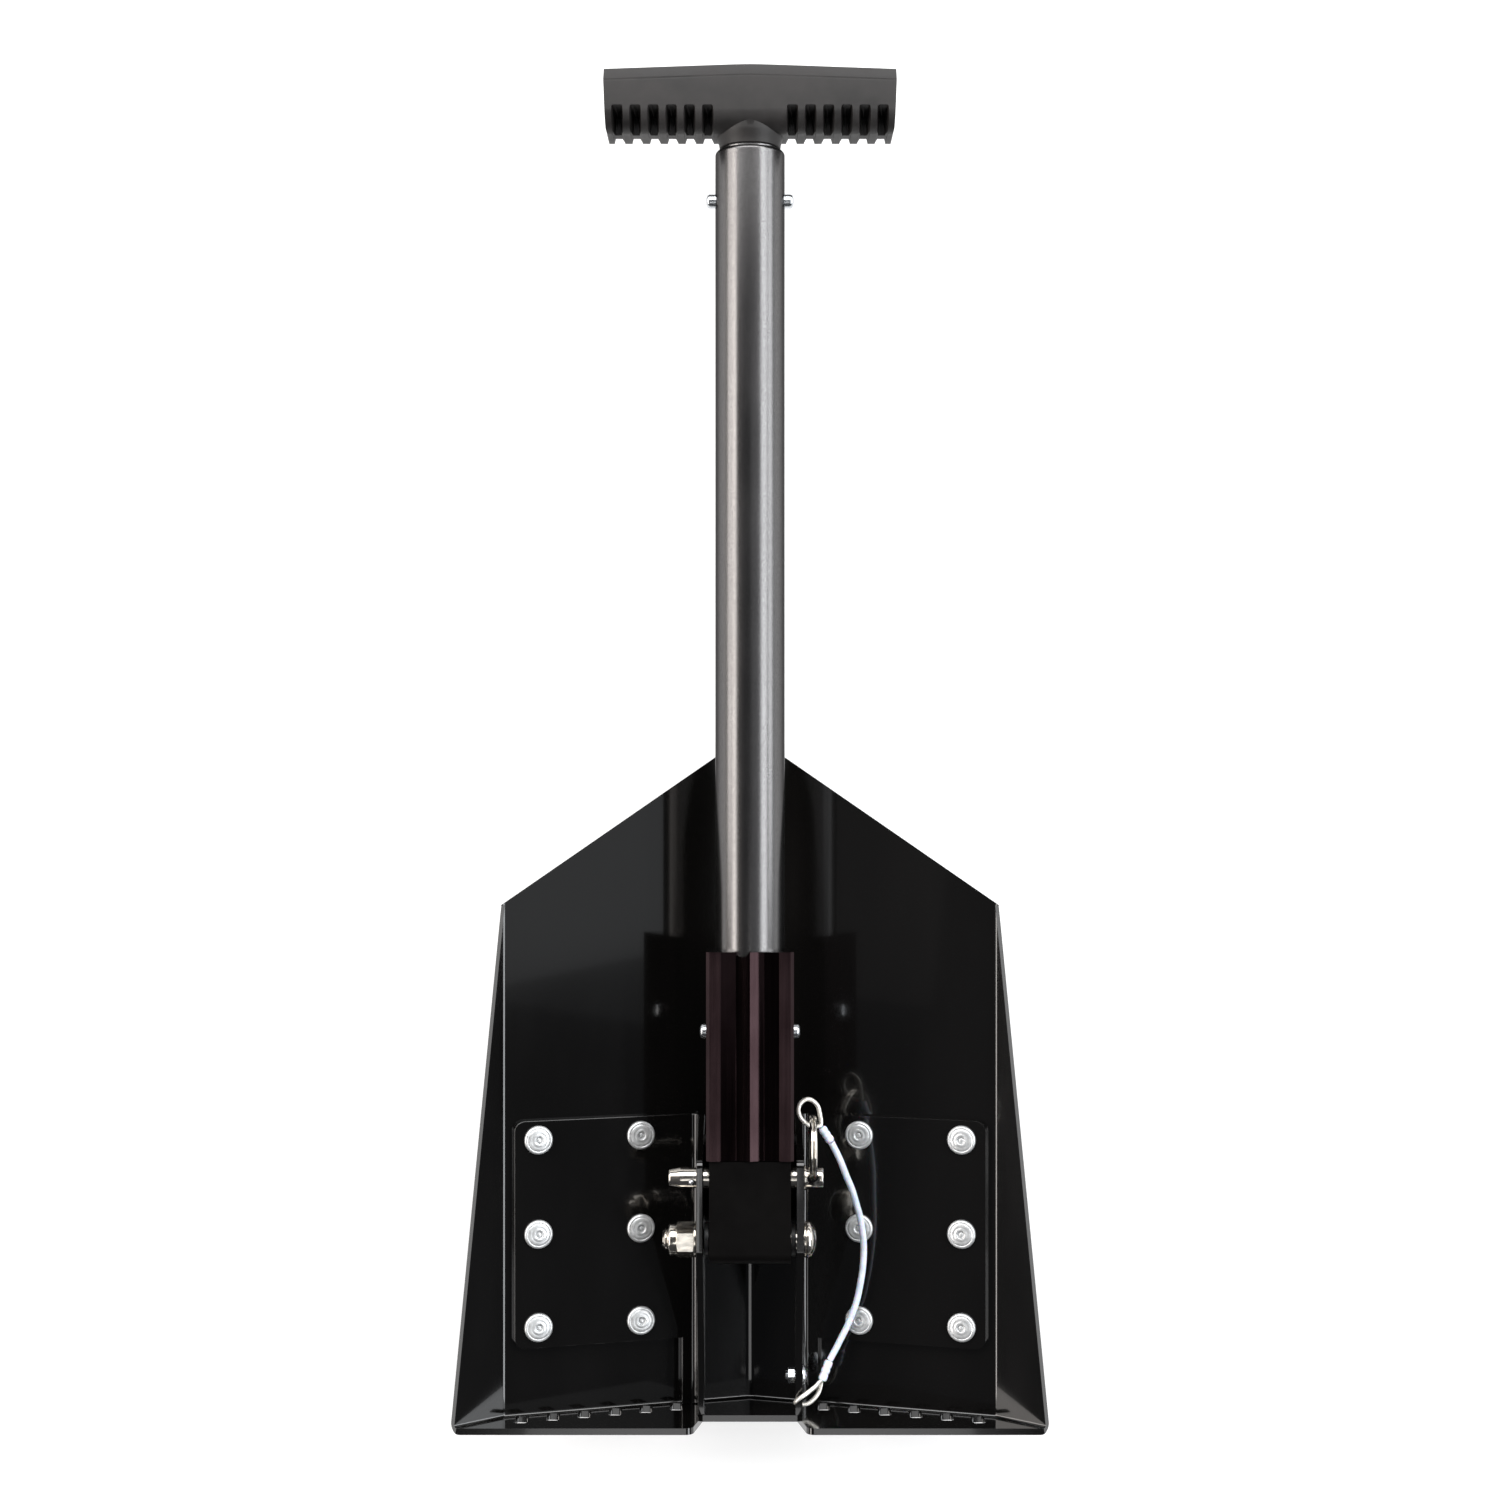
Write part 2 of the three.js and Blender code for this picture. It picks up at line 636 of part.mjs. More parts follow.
class Coil extends THREE.Curve {
  constructor(radius, turns, height) {
    super();
    this.radius = radius;
    this.turns = turns;
    this.height = height;
  }

  getPoint(t, target = new THREE.Vector3()) {
    const angle = 2 * Math.PI * this.turns * t;
    return target.set(this.radius * Math.cos(angle), this.height * t, this.radius * Math.sin(angle));
  }
}

const DETENT_WIRE = 0.25;
const detentCoil = new Coil(1.1, 4, BALL_OUT - BALL_R - POCKET_END - 4 * DETENT_WIRE);
const detentSpring = bar(detentCoil, DETENT_WIRE, 5, 40);
const detentMesh = place('detent_spring', detentSpring, spring);
detentMesh.quaternion.setFromUnitVectors(Y, new THREE.Vector3(...ballAxis));
detentMesh.position.set(BALL_X, PIN_Y, 0);
detentMesh.position.addScaledVector(new THREE.Vector3(...ballAxis), POCKET_END + 2 * DETENT_WIRE);

// the split ring's two turns side by side, as one band
function pullRing() {
  const [half, width] = [RING_WIRE / 2, RING_WIRE];
  const bevel = half * 0.6;
  return turned([
    [RING_R - half, -width + bevel],
    [RING_R - half + bevel, -width],
    [RING_R + half - bevel, -width],
    [RING_R + half, -width + bevel],
    [RING_R + half, width - bevel],
    [RING_R + half - bevel, width],
    [RING_R - half + bevel, width],
    [RING_R - half, width - bevel],
    [RING_R - half, -width + bevel],
  ], 36, pose([1, 0, 0]));
}

place('pull_ring', pullRing(), nickel, [RING_X, PIN_Y + RING_R, 0]);

// ---------------------------------------------------------------- lanyard

const route = [
  [37.2, -179.6, -2],
  [41.2, -188, -5],
  [44.5, -196.6, -8.5],
  [47.2, -203.4, -12],
  [49.2, -210.1, -15.5],
  [51.1, -217, -18.5],
  [52.3, -223.7, -20.5],
  [53, -229.7, -22.3],
  [53.1, -235.8, -23.8],
  [52.6, -243.6, -25],
  [51.4, -251.3, -25.8],
  [50, -258, -26.4],
  [47.9, -264.3, -27],
  [45.6, -270.2, -27.6],
  [42.8, -275.9, -28],
  [40.2, -281.1, -28.2],
  [37.5, -286.1, -28.2],
];
const upperEye = [
  [32.1, -171.4, 0],
  [31.9, -166.6, 0],
  [30.6, -162.2, 0],
  [26.8, -159.6, 0],
  [23.2, -161.3, 0],
  [22.1, -165, 0],
  [23.7, -168.9, 0],
  [27.6, -171.6, 0],
];
const lowerEye = [
  [33, -296.8, -25.6],
  [29.6, -298.4, -20.2],
  [25, -301.4, -16.6],
  [20.9, -303.9, -17.6],
  [19.5, -305.2, -21.6],
  [22.8, -304.5, -24.6],
  [27.4, -303, -26.2],
  [31.2, -300, -27],
];
const upperFerrule = [[32.7, -172.6, 0], [37, -179.2, -1.9]];
const lowerFerrule = [[37.2, -286.5, -28.2], [33.7, -295.4, -26.4]];

const vectors = (points) => points.map((point) => new THREE.Vector3(...point));
const cableCurve = new THREE.CatmullRomCurve3(vectors(route));
place('lanyard_cable', bar(cableCurve, CABLE_R, 8, 34), nylon);
for (const [name, points] of [['upper', upperEye], ['lower', lowerEye]]) {
  const curve = new THREE.CatmullRomCurve3(vectors(points), true);
  place(`lanyard_eye_${name}`, loop(curve, WIRE_R, 8, 28), steel);
}

const FERRULE_R = 2.05;

function ferrule([from, to]) {
  const along = new THREE.Vector3(...to).sub(new THREE.Vector3(...from));
  const length = along.length();
  return turned([
    [0, 0],
    [FERRULE_R - 0.6, 0],
    [FERRULE_R, 1.2],
    [FERRULE_R, length - 1.2],
    [FERRULE_R - 0.4, length],
    [0, length],
  ], 12, pose(along.toArray(), from));
}

for (const [name, ends, eye] of [['upper', upperFerrule, upperEye], ['lower', lowerFerrule, lowerEye]]) {
  const eyeCurve = new THREE.CatmullRomCurve3(vectors(eye), true);
  const clear = loop(eyeCurve, WIRE_R + RUN_GAP, 8, 28);
  place(`lanyard_ferrule_${name}`, ferrule(ends).subtract(clear), nylon);
}

// ---------------------------------------------------------------- sleeve, block and cross pin

const BORE = TUBE_R + RUN_GAP;
const CROSS_PIN_R = 2.5;

function sleeveSection() {
  const right = [
    [0, SLEEVE_Z],
    [13.1, SLEEVE_Z - 0.5],
    [13.5, SLEEVE_Z - 0.1],
    [SLEEVE_X - 1.6, SLEEVE_Z - 0.1],
    [SLEEVE_X, SLEEVE_Z - 1.8],
    [SLEEVE_X, -SLEEVE_Z + 4.5],
    [SLEEVE_X - 4.5, -SLEEVE_Z],
  ];
  const left = right.slice(1).map(([x, z]) => [-x, z]).reverse();
  return outline([...right, ...left].reverse());
}

function sleeve() {
  const body = prismY(sleeveSection(), SLEEVE_END, SLEEVE_TOP);
  const bore = rod(BORE, -FAR, FAR, [0, 1, 0], [0, 0, 0], SIDES);
  const notch = rod(3.5, 0, FAR, [0, 0, 1], [-3.6, SLEEVE_TOP + 1.2, 0]);
  const pinHole = rod(CROSS_PIN_R + RUN_GAP, -FAR, FAR, [1, 0, 0], [0, CROSS_PIN_Y, 0]);
  const buttonHole = rod(BUTTON_R + RUN_GAP, -FAR, FAR, [1, 0, 0], [0, LOW_BUTTON_Y, 0]);
  return cut(body, bore, notch, pinHole, buttonHole);
}

const PLUG_TOP = -154;
const BLOCK_TOP = SLEEVE_END - 0.4;

function pivotBlock() {
  const side = roundedBox(BLOCK_END, -BLOCK_Z, BLOCK_TOP, BLOCK_Z, 5);
  const front = roundedBox(-BLOCK_X, -BLOCK_Z, BLOCK_X, BLOCK_Z, 2);
  const squareTop = roundedBox(BLOCK_END + 12, -BLOCK_Z, BLOCK_TOP, BLOCK_Z, 0.5);
  const lump = join(prismX(side, -BLOCK_X, BLOCK_X), prismX(squareTop, -BLOCK_X, BLOCK_X))
    .intersect(prismY(front, BLOCK_END, BLOCK_TOP));
  const plug = rod(TUBE_R, BLOCK_TOP - 1, PLUG_TOP, [0, 1, 0], [0, 0, 0], SIDES);
  const boltHole = rod(PIN_R + RUN_GAP, -FAR, FAR, [1, 0, 0], [0, PIVOT_Y, 0]);
  const pinHole = rod(CROSS_PIN_R + RUN_GAP, -FAR, FAR, [1, 0, 0], [0, CROSS_PIN_Y, 0]);
  return cut(join(lump, plug), boltHole, pinHole, pinSlot());
}

// the way past the lock pin as the shaft folds: an arc about the pivot, open below.
// It is wide enough for the detent ball, which stands out of the pin.
function pinSlot() {
  const reach = PIN_Y - PIVOT_Y;
  const half = BALL_OUT + BALL_R + RUN_GAP;
  const sweep = THREE.MathUtils.degToRad(62);
  const shape = new THREE.Shape();
  shape.absarc(PIVOT_Y + reach, 0, half, 0, Math.PI);
  shape.absarc(PIVOT_Y, 0, reach - half, 0, -sweep, true);
  shape.absarc(PIVOT_Y, 0, reach + half, -sweep, 0);
  return prismX(shape, -FAR, FAR);
}

place('sleeve', sleeve(), anodised);
place('pivot_block', pivotBlock(), matte);
const CROSS_PIN_X = 21.4;
const crossPin = turned([
  [0, -CROSS_PIN_X],
  [CROSS_PIN_R - 0.5, -CROSS_PIN_X],
  [CROSS_PIN_R, -CROSS_PIN_X + 0.5],
  [CROSS_PIN_R, CROSS_PIN_X - 0.5],
  [CROSS_PIN_R - 0.5, CROSS_PIN_X],
  [0, CROSS_PIN_X],
], SMALL_SIDES, pose([1, 0, 0]));
place('cross_pin', crossPin, matte, [0, CROSS_PIN_Y, 0]);

// ---------------------------------------------------------------- tubes

const buttonHoleR = BUTTON_R + RUN_GAP;
const sideHole = (y) => rod(buttonHoleR, -FAR, FAR, [1, 0, 0], [0, y, 0]);

function mainTube() {
  const body = pipe(TUBE_R, TUBE_BORE, TUBE_END, TUBE_TOP, [0, 1, 0], [0, 0, 0], SIDES);
  return cut(body, sideHole(TOP_BUTTON_Y), sideHole(LOW_BUTTON_Y));
}

const INNER_TOP = NECK_END - RUN_GAP;
const HIDDEN_BUTTON_Y = TOP_BUTTON_Y - EXTENSION;
const GRIP_PIN_Y = 266;
const GRIP_PIN_R = 1.5;
const gripPinHole = rod(GRIP_PIN_R + 0.15, -FAR, FAR, [0, 0, 1], [0, GRIP_PIN_Y, 0], 12);

function innerTube() {
  const body = pipe(INNER_R, INNER_BORE, INNER_END, INNER_TOP, [0, 1, 0], [0, 0, 0], SIDES);
  return cut(body, sideHole(TOP_BUTTON_Y), sideHole(HIDDEN_BUTTON_Y), gripPinHole);
}

place('main_tube', mainTube(), satin);
place('inner_tube', innerTube(), satin);

// ---------------------------------------------------------------- snap buttons and their springs

const CLIP = 0.9; // thickness of the spring strip
const CLIP_HALF_WIDTH = 4;
const CLIP_LENGTH = 34;
const SHORT_CLIP_LENGTH = 22; // the lower one, above the block's plug

// a round button standing out from its spring arm, pointing along +X
function snapButton(from, tip) {
  return turned([
    [0, from],
    [BUTTON_R, from],
    [BUTTON_R, tip - 1.6],
    [BUTTON_R * 0.85, tip - 0.6],
    [BUTTON_R * 0.5, tip],
    [0, tip],
  ], SMALL_SIDES, pose([1, 0, 0]));
}

// a strip bent into a V, closed towards the blade, with its arms behind the two buttons
function springClip(arm, length) {
  const path = [[arm, 6], [arm, -6], [0, -length], [-arm, -6], [-arm, 6]];
  const outer = rounded(path, [0, 6, 2, 6, 0], 4);
  const inner = rounded(offset(path, CLIP), [0, 6, 2 - CLIP, 6, 0], 4);
  return prismZ(outline([...outer, ...inner.reverse()]), -CLIP_HALF_WIDTH, CLIP_HALF_WIDTH);
}

function buttonPair(prefix, y, base, tip, length) {
  place(`${prefix}_spring`, springClip(base - RUN_GAP, length), spring, [0, y, 0]);
  for (const [name, side] of SIDE_NAMES) {
    const turn = side > 0 ? [0, 0, 0] : [0, 0, Math.PI];
    place(`${prefix}_button_${name}`, snapButton(base, tip), steel, [0, y, 0], turn);
  }
}

const PRESSED_TIP = TUBE_BORE - 0.4; // a hidden button held in by the main tube's bore
buttonPair('top', TOP_BUTTON_Y, 11, TOP_BUTTON_TIP, CLIP_LENGTH);
buttonPair('hidden', HIDDEN_BUTTON_Y, 6.2, PRESSED_TIP, CLIP_LENGTH);
buttonPair('lower', LOW_BUTTON_Y, 11.5, LOW_BUTTON_TIP, SHORT_CLIP_LENGTH);

// ---------------------------------------------------------------- T-grip

const FIN_FIRST_X = 19.1;
const FIN_PITCH = 8.16;
const FIN_SLOTS = 6;
const FIN_SLOT_HALF = 2.7;
const FIN_SLOT_TOP = 295.3;
const WEB = 3; // half thickness of the web between front and back slots
const PLUG_R = 12;
const GRIP_PLUG_END = 259;

function gripPocket(x, face) {
  const shape = roundedBox(x - FIN_SLOT_HALF, GRIP_END - 12, x + FIN_SLOT_HALF, FIN_SLOT_TOP, 1.8);
  return face > 0 ? prismZ(shape, WEB, FAR) : prismZ(shape, -FAR, -WEB);
}

function grip() {
  const section = outline([
    [GRIP_TOP, 8],
    [GRIP_TOP - 1.5, 11],
    [GRIP_TOP - 6.5, GRIP_Z - 1.2],
    [GRIP_TOP - 9, GRIP_Z],
    [GRIP_END + 9, GRIP_Z],
    [GRIP_END + 4, GRIP_Z - 2.2],
    [GRIP_END, GRIP_Z - 7],
    [GRIP_END, -GRIP_Z + 7],
    [GRIP_END + 4, -GRIP_Z + 2.2],
    [GRIP_END + 9, -GRIP_Z],
    [GRIP_TOP - 9, -GRIP_Z],
    [GRIP_TOP - 6.5, -GRIP_Z + 1.2],
    [GRIP_TOP - 1.5, -11],
    [GRIP_TOP, -8],
  ].reverse());
  const plan = outline(rounded([
    [-12, GRIP_TOP],
    [-GRIP_X, GRIP_TOP - 3],
    [-GRIP_X + 1.6, GRIP_END - 1],
    [GRIP_X - 1.6, GRIP_END - 1],
    [GRIP_X, GRIP_TOP - 3],
    [12, GRIP_TOP],
  ], [0, 3, 4, 4, 3, 0], 3));
  const crossbar = prismX(section, -GRIP_X, GRIP_X).intersect(prismZ(plan, -FAR, FAR));
  const pockets = [];
  for (const [, side] of SIDE_NAMES) {
    for (let i = 0; i < FIN_SLOTS; i += 1) {
      pockets.push(gripPocket(side * (FIN_FIRST_X + FIN_PITCH * i), 1));
      pockets.push(gripPocket(side * (FIN_FIRST_X + FIN_PITCH * i), -1));
    }
  }
  const neck = turned([
    [0, GRIP_PLUG_END],
    [PLUG_R, GRIP_PLUG_END],
    [PLUG_R, NECK_END],
    [INNER_R, NECK_END],
    [15, NECK_END + 6],
    [15, GRIP_END + 14],
    [0, GRIP_END + 14],
  ], SIDES);
  return cut(join(cut(crossbar, ...pockets), neck), gripPinHole);
}

place('t_grip', grip(), plastic);
const gripPin = rod(GRIP_PIN_R, -INNER_R + 0.3, INNER_R - 0.3, [0, 0, 1], [0, 0, 0], 12);
place('grip_pin', gripPin, steel, [0, GRIP_PIN_Y, 0]);

// ---------------------------------------------------------------- stand the back of the blade on z = 0

const undersideCorner = VALLEY - SHEET / Math.cos(floorAngle);
const underside = undersideCorner + (VALLEY_R + SHEET) * (1 / Math.cos(floorAngle) - 1);
group.position.z = -underside;

export default group;
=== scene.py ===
import json
import math

import bmesh
import bpy
from mathutils import Matrix, Vector


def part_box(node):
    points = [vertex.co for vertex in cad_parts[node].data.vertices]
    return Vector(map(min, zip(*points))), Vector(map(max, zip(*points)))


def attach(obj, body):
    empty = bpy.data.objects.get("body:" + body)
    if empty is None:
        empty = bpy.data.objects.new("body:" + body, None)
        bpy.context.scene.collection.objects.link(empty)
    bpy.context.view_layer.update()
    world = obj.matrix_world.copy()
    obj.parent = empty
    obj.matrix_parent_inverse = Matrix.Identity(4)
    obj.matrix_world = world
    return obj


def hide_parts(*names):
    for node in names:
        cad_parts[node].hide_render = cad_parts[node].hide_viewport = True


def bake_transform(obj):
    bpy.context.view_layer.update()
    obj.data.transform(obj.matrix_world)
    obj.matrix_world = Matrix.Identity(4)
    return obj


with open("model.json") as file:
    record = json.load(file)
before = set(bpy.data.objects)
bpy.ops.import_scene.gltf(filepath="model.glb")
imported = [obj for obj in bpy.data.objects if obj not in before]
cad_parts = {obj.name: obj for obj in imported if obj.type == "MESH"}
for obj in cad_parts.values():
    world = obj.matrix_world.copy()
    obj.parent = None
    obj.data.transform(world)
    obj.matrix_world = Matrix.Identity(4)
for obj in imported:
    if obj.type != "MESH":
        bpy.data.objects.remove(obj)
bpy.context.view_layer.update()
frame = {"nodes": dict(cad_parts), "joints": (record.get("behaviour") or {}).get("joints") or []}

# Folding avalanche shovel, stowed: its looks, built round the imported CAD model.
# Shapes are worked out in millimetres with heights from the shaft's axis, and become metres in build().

MM = 0.001
JOINTS = {joint["name"]: joint for joint in frame["joints"]}
AXIS_HEIGHT = JOINTS["fold"]["pos_m"][2]  # the shaft's axis above the floor, in metres
SIDES = {"left": -1, "right": 1}
ALONG_X, ALONG_Y, ALONG_Z = (1, 0, 0), (0, 1, 0), (0, 0, 1)


def in_frame(point):
    """A point in millimetres, heights from the shaft's axis, as one in metres in the shared frame."""
    return Vector(point) * MM + Vector((0, 0, AXIS_HEIGHT))


class Box:
    """A CAD node's box in millimetres, with heights from the shaft's axis."""

    def __init__(self, node):
        low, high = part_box(node)
        self.x0, self.y0, self.z0 = low.x / MM, low.y / MM, (low.z - AXIS_HEIGHT) / MM
        self.x1, self.y1, self.z1 = high.x / MM, high.y / MM, (high.z - AXIS_HEIGHT) / MM
        self.x, self.y, self.z = (self.x0 + self.x1) / 2, (self.y0 + self.y1) / 2, (self.z0 + self.z1) / 2


# ---- camera

CAMERA_DISTANCE = 1.05  # above the shaft's axis, in metres
FRAME_WIDTH = 0.6855  # what the picture takes in at that distance

scene = bpy.context.scene
camera = bpy.data.objects.new("camera", bpy.data.cameras.new("camera"))
camera.data.sensor_width = 36
camera.data.lens = camera.data.sensor_width * CAMERA_DISTANCE / FRAME_WIDTH
camera.location = (0, 0, AXIS_HEIGHT + CAMERA_DISTANCE)
scene.collection.objects.link(camera)
scene.camera = camera


# ---- shapes: (points, faces) in millimetres


def combined(*shapes):
    points, faces = [], []
    for more_points, more_faces in shapes:
        start = len(points)
        points += more_points
        faces += [[start + i for i in face] for face in more_faces]
    return points, faces


def mirrored(shape):
    points, faces = shape
    return [Vector((-p[0], p[1], p[2])) for p in points], faces


def rounded(outline, radii, steps=6):
    """The outline's corners rounded to the given radii, as {corner number: radius}."""
    out = []
    for i, corner in enumerate(outline):
        here = Vector(corner)
        radius = radii.get(i, 0)
        if not radius:
            out.append(here)
            continue
        back = (Vector(outline[i - 1]) - here).normalized()
        on = (Vector(outline[(i + 1) % len(outline)]) - here).normalized()
        half = back.angle(on) / 2
        centre = here + (back + on).normalized() * radius / math.sin(half)
        first = here + back * radius / math.tan(half) - centre
        last = here + on * radius / math.tan(half) - centre
        turn = math.atan2(first.x * last.y - first.y * last.x, first.dot(last))
        for step in range(steps + 1):
            out.append(centre + Matrix.Rotation(turn * step / steps, 2) @ first)
    return out


def rectangle(a0, b0, a1, b1, radius, steps=6):
    corners = [(a0, b0), (a1, b0), (a1, b1), (a0, b1)]
    return rounded(corners, {i: radius for i in range(4)}, steps)


def row(first, pitch, count):
    """Evenly spaced x places on both sides of the centre line."""
    return [side * (first + pitch * i) for side in SIDES.values() for i in range(count)]


PLANES = {"xy": (0, 1, 2), "yz": (1, 2, 0), "xz": (0, 2, 1)}


def prism(outline, plane, low, high):
    """An outline in one of the planes, pushed along the third axis from low to high."""
    a, b, c = PLANES[plane]
    points = []
    for level in (low, high):
        for corner in outline:
            point = Vector((0, 0, 0))
            point[a], point[b], point[c] = corner[0], corner[1], level
            points.append(point)
    count = len(outline)
    faces = [[i, (i + 1) % count, count + (i + 1) % count, count + i] for i in range(count)]
    faces += [list(range(count))[::-1], list(range(count, 2 * count))]
    return points, faces


def skin(rings, closed=False):
    """A solid through rings of points. It has two ends, or joins its last ring to its first."""
    size = len(rings[0])
    points = [Vector(p) for ring in rings for p in ring]
    count = len(points)
    faces = [] if closed else [list(range(size)), list(range(count - size, count))[::-1]]
    for start in range(0, count if closed else count - size, size):
        for i in range(size):
            a, b = start + i, start + (i + 1) % size
            faces.append([a, b, (b + size) % count, (a + size) % count])
    return points, faces


def lathe(profile, axis, centre=(0, 0, 0), sides=64, first=0.0):
    """A profile of (radius, along) points turned about the axis. It ends on the axis, or is a loop."""
    turn = Vector(ALONG_Z).rotation_difference(Vector(axis))
    points, rings = [], []
    for radius, along in profile:
        count = sides if radius else 1
        rings.append(range(len(points), len(points) + count))
        for i in range(count):
            angle = first + 2 * math.pi * i / sides
            local = Vector((radius * math.cos(angle), radius * math.sin(angle), along))
            points.append(turn @ local + Vector(centre))
    pairs = list(zip(rings, rings[1:]))
    if profile[0][0]:
        pairs.append((rings[-1], rings[0]))
    faces = []
    for lower, upper in pairs:
        for i in range(sides):
            j = (i + 1) % sides
            quad = [ring[k % len(ring)] for ring, k in ((lower, i), (lower, j), (upper, j), (upper, i))]
            faces.append(list(dict.fromkeys(quad)))
    return points, faces


def cylinder(radius, low, high, axis, centre=(0, 0, 0), sides=48):
    return lathe([(0, low), (radius, low), (radius, high), (0, high)], axis, centre, sides)


def cross_hole(radius, y, z=0, sides=48):
    """A bore from side to side, right through everything near the shaft."""
    return cylinder(radius, -40, 40, ALONG_X, (0, y, z), sides)


def pipe(outer, bore, low, high, axis, edge, centre=(0, 0, 0), sides=64):
    """A tube with broken edges."""
    profile = [
        (bore, low + edge), (bore + edge, low), (outer - edge, low), (outer, low + edge),
        (outer, high - edge), (outer - edge, high), (bore + edge, high), (bore, high - edge),
    ]
    return lathe(profile, axis, centre, sides)


def smooth_line(points, per_span, closed=False):
    """A smooth curve through the points, with that many steps between two of them."""
    count = len(points)
    points = [Vector(p) for p in points]

    def point(i):
        if closed:
            return points[i % count]
        if i < 0:
            return 2 * points[0] - points[1]
        if i >= count:
            return 2 * points[-1] - points[-2]
        return points[i]

    line = []
    for i in range(count if closed else count - 1):
        a, b, c, d = point(i - 1), point(i), point(i + 1), point(i + 2)
        for step in range(per_span):
            t = step / per_span
            line.append((2 * b + (c - a) * t + (2 * a - 5 * b + 4 * c - d) * t**2
                         + (3 * b - a - 3 * c + d) * t**3) / 2)
    if not closed:
        line.append(points[-1])
    return line


def line_frames(line, closed=False):
    """Each point's tangent and two directions square to it, which don't spin along the line."""
    count = len(line)
    tangents = []
    for i in range(count):
        before = line[i - 1] if closed or i else line[0]
        after = line[(i + 1) % count] if closed or i < count - 1 else line[-1]
        tangents.append((after - before).normalized())
    side = tangents[0].orthogonal().normalized()
    frames = []
    for tangent in tangents:
        side = (side - tangent * side.dot(tangent)).normalized()
        frames.append([tangent, side, tangent.cross(side)])
    if closed:
        back = (side - tangents[0] * side.dot(tangents[0])).normalized()
        first = frames[0]
        spin = math.atan2(back.dot(first[2]), back.dot(first[1]))
        for i, (tangent, side, _) in enumerate(frames):
            turned = Matrix.Rotation(-spin * i / count, 3, tangent) @ side
            frames[i] = [tangent, turned, tangent.cross(turned)]
    return frames


def sweep(line, section, closed=False):
    """A bar whose section, a list of (a, b) points, follows the line."""
    placed = zip(line, line_frames(line, closed))
    return skin([[at + side * a + other * b for a, b in section] for at, (_, side, other) in placed], closed)


def arc(centre, radii, start, end, steps):
    """Points on an ellipse from one angle to the other."""
    angles = [start + (end - start) * i / steps for i in range(steps + 1)]
    return [(centre[0] + radii[0] * math.cos(a), centre[1] + radii[1] * math.sin(a)) for a in angles]


def disc(radius, sides):
    return arc((0, 0), (radius, radius), 0, 2 * math.pi, sides)[:-1]


def hull(points):
    bm = bmesh.new()
    for point in points:
        bm.verts.new(point)
    result = bmesh.ops.convex_hull(bm, input=bm.verts)
    loose = [v for v in result["geom_interior"] + result["geom_unused"] if isinstance(v, bmesh.types.BMVert)]
    bmesh.ops.delete(bm, geom=loose, context="VERTS")
    bm.verts.index_update()
    shape = [v.co.copy() for v in bm.verts], [[v.index for v in face.verts] for face in bm.faces]
    bm.free()
    return shape


# ---- from shapes to pieces


def build(name, shape, outward=True):
    """A mesh object from a shape, in metres in the shared frame."""
    points, faces = shape
    mesh = bpy.data.meshes.new(name)
    mesh.from_pydata([in_frame(p) for p in points], [], faces)
    if outward:
        bm = bmesh.new()
        bm.from_mesh(mesh)
        bmesh.ops.recalc_face_normals(bm, faces=bm.faces)
        bm.to_mesh(mesh)
        bm.free()
    obj = bpy.data.objects.new(name, mesh)
    scene.collection.objects.link(obj)
    return obj


def settle(obj):
    """Applies the modifiers."""
    evaluated = obj.evaluated_get(bpy.context.evaluated_depsgraph_get())
    mesh = bpy.data.meshes.new_from_object(evaluated)
    obj.modifiers.clear()
    obj.data = mesh
    return obj


def carve(obj, shape, operation="DIFFERENCE"):
    """Cuts the shape out of the object, or joins it on."""
    tool = build("tool", shape)
    modifier = obj.modifiers.new("carve", "BOOLEAN")
    modifier.operation = operation
    modifier.solver = "EXACT"
    modifier.object = tool
    settle(obj)
    bpy.data.objects.remove(tool)


def smoothed(obj, sharp):
    """Smooth shading, except at edges that turn by more than that many degrees."""
    obj.data.shade_smooth()
    obj.data.set_sharp_from_angle(angle=math.radians(sharp))
    return obj


def soften(obj, width, segments=2, limit=40, smooth=35):
    """Rounds the edges sharper than the limit, in degrees, and shades the flats flat."""
    if width:
        bevel = obj.modifiers.new("edges", "BEVEL")
        bevel.width = width * MM
        bevel.segments = segments
        bevel.limit_method = "ANGLE"
        bevel.angle_limit = math.radians(limit)
        settle(obj)
    smoothed(obj, smooth)
    weighted = obj.modifiers.new("flats", "WEIGHTED_NORMAL")
    weighted.keep_sharp = True
    return settle(obj)


def dress(obj, look, body, *nodes):
    """Gives a piece its finish, its body if one is given, and the CAD nodes that it stands for."""
    obj.data.materials.clear()
    obj.data.materials.append(LOOKS[look])
    if body:
        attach(obj, body)
    if nodes:
        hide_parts(*nodes)
    return obj


# ---- finishes


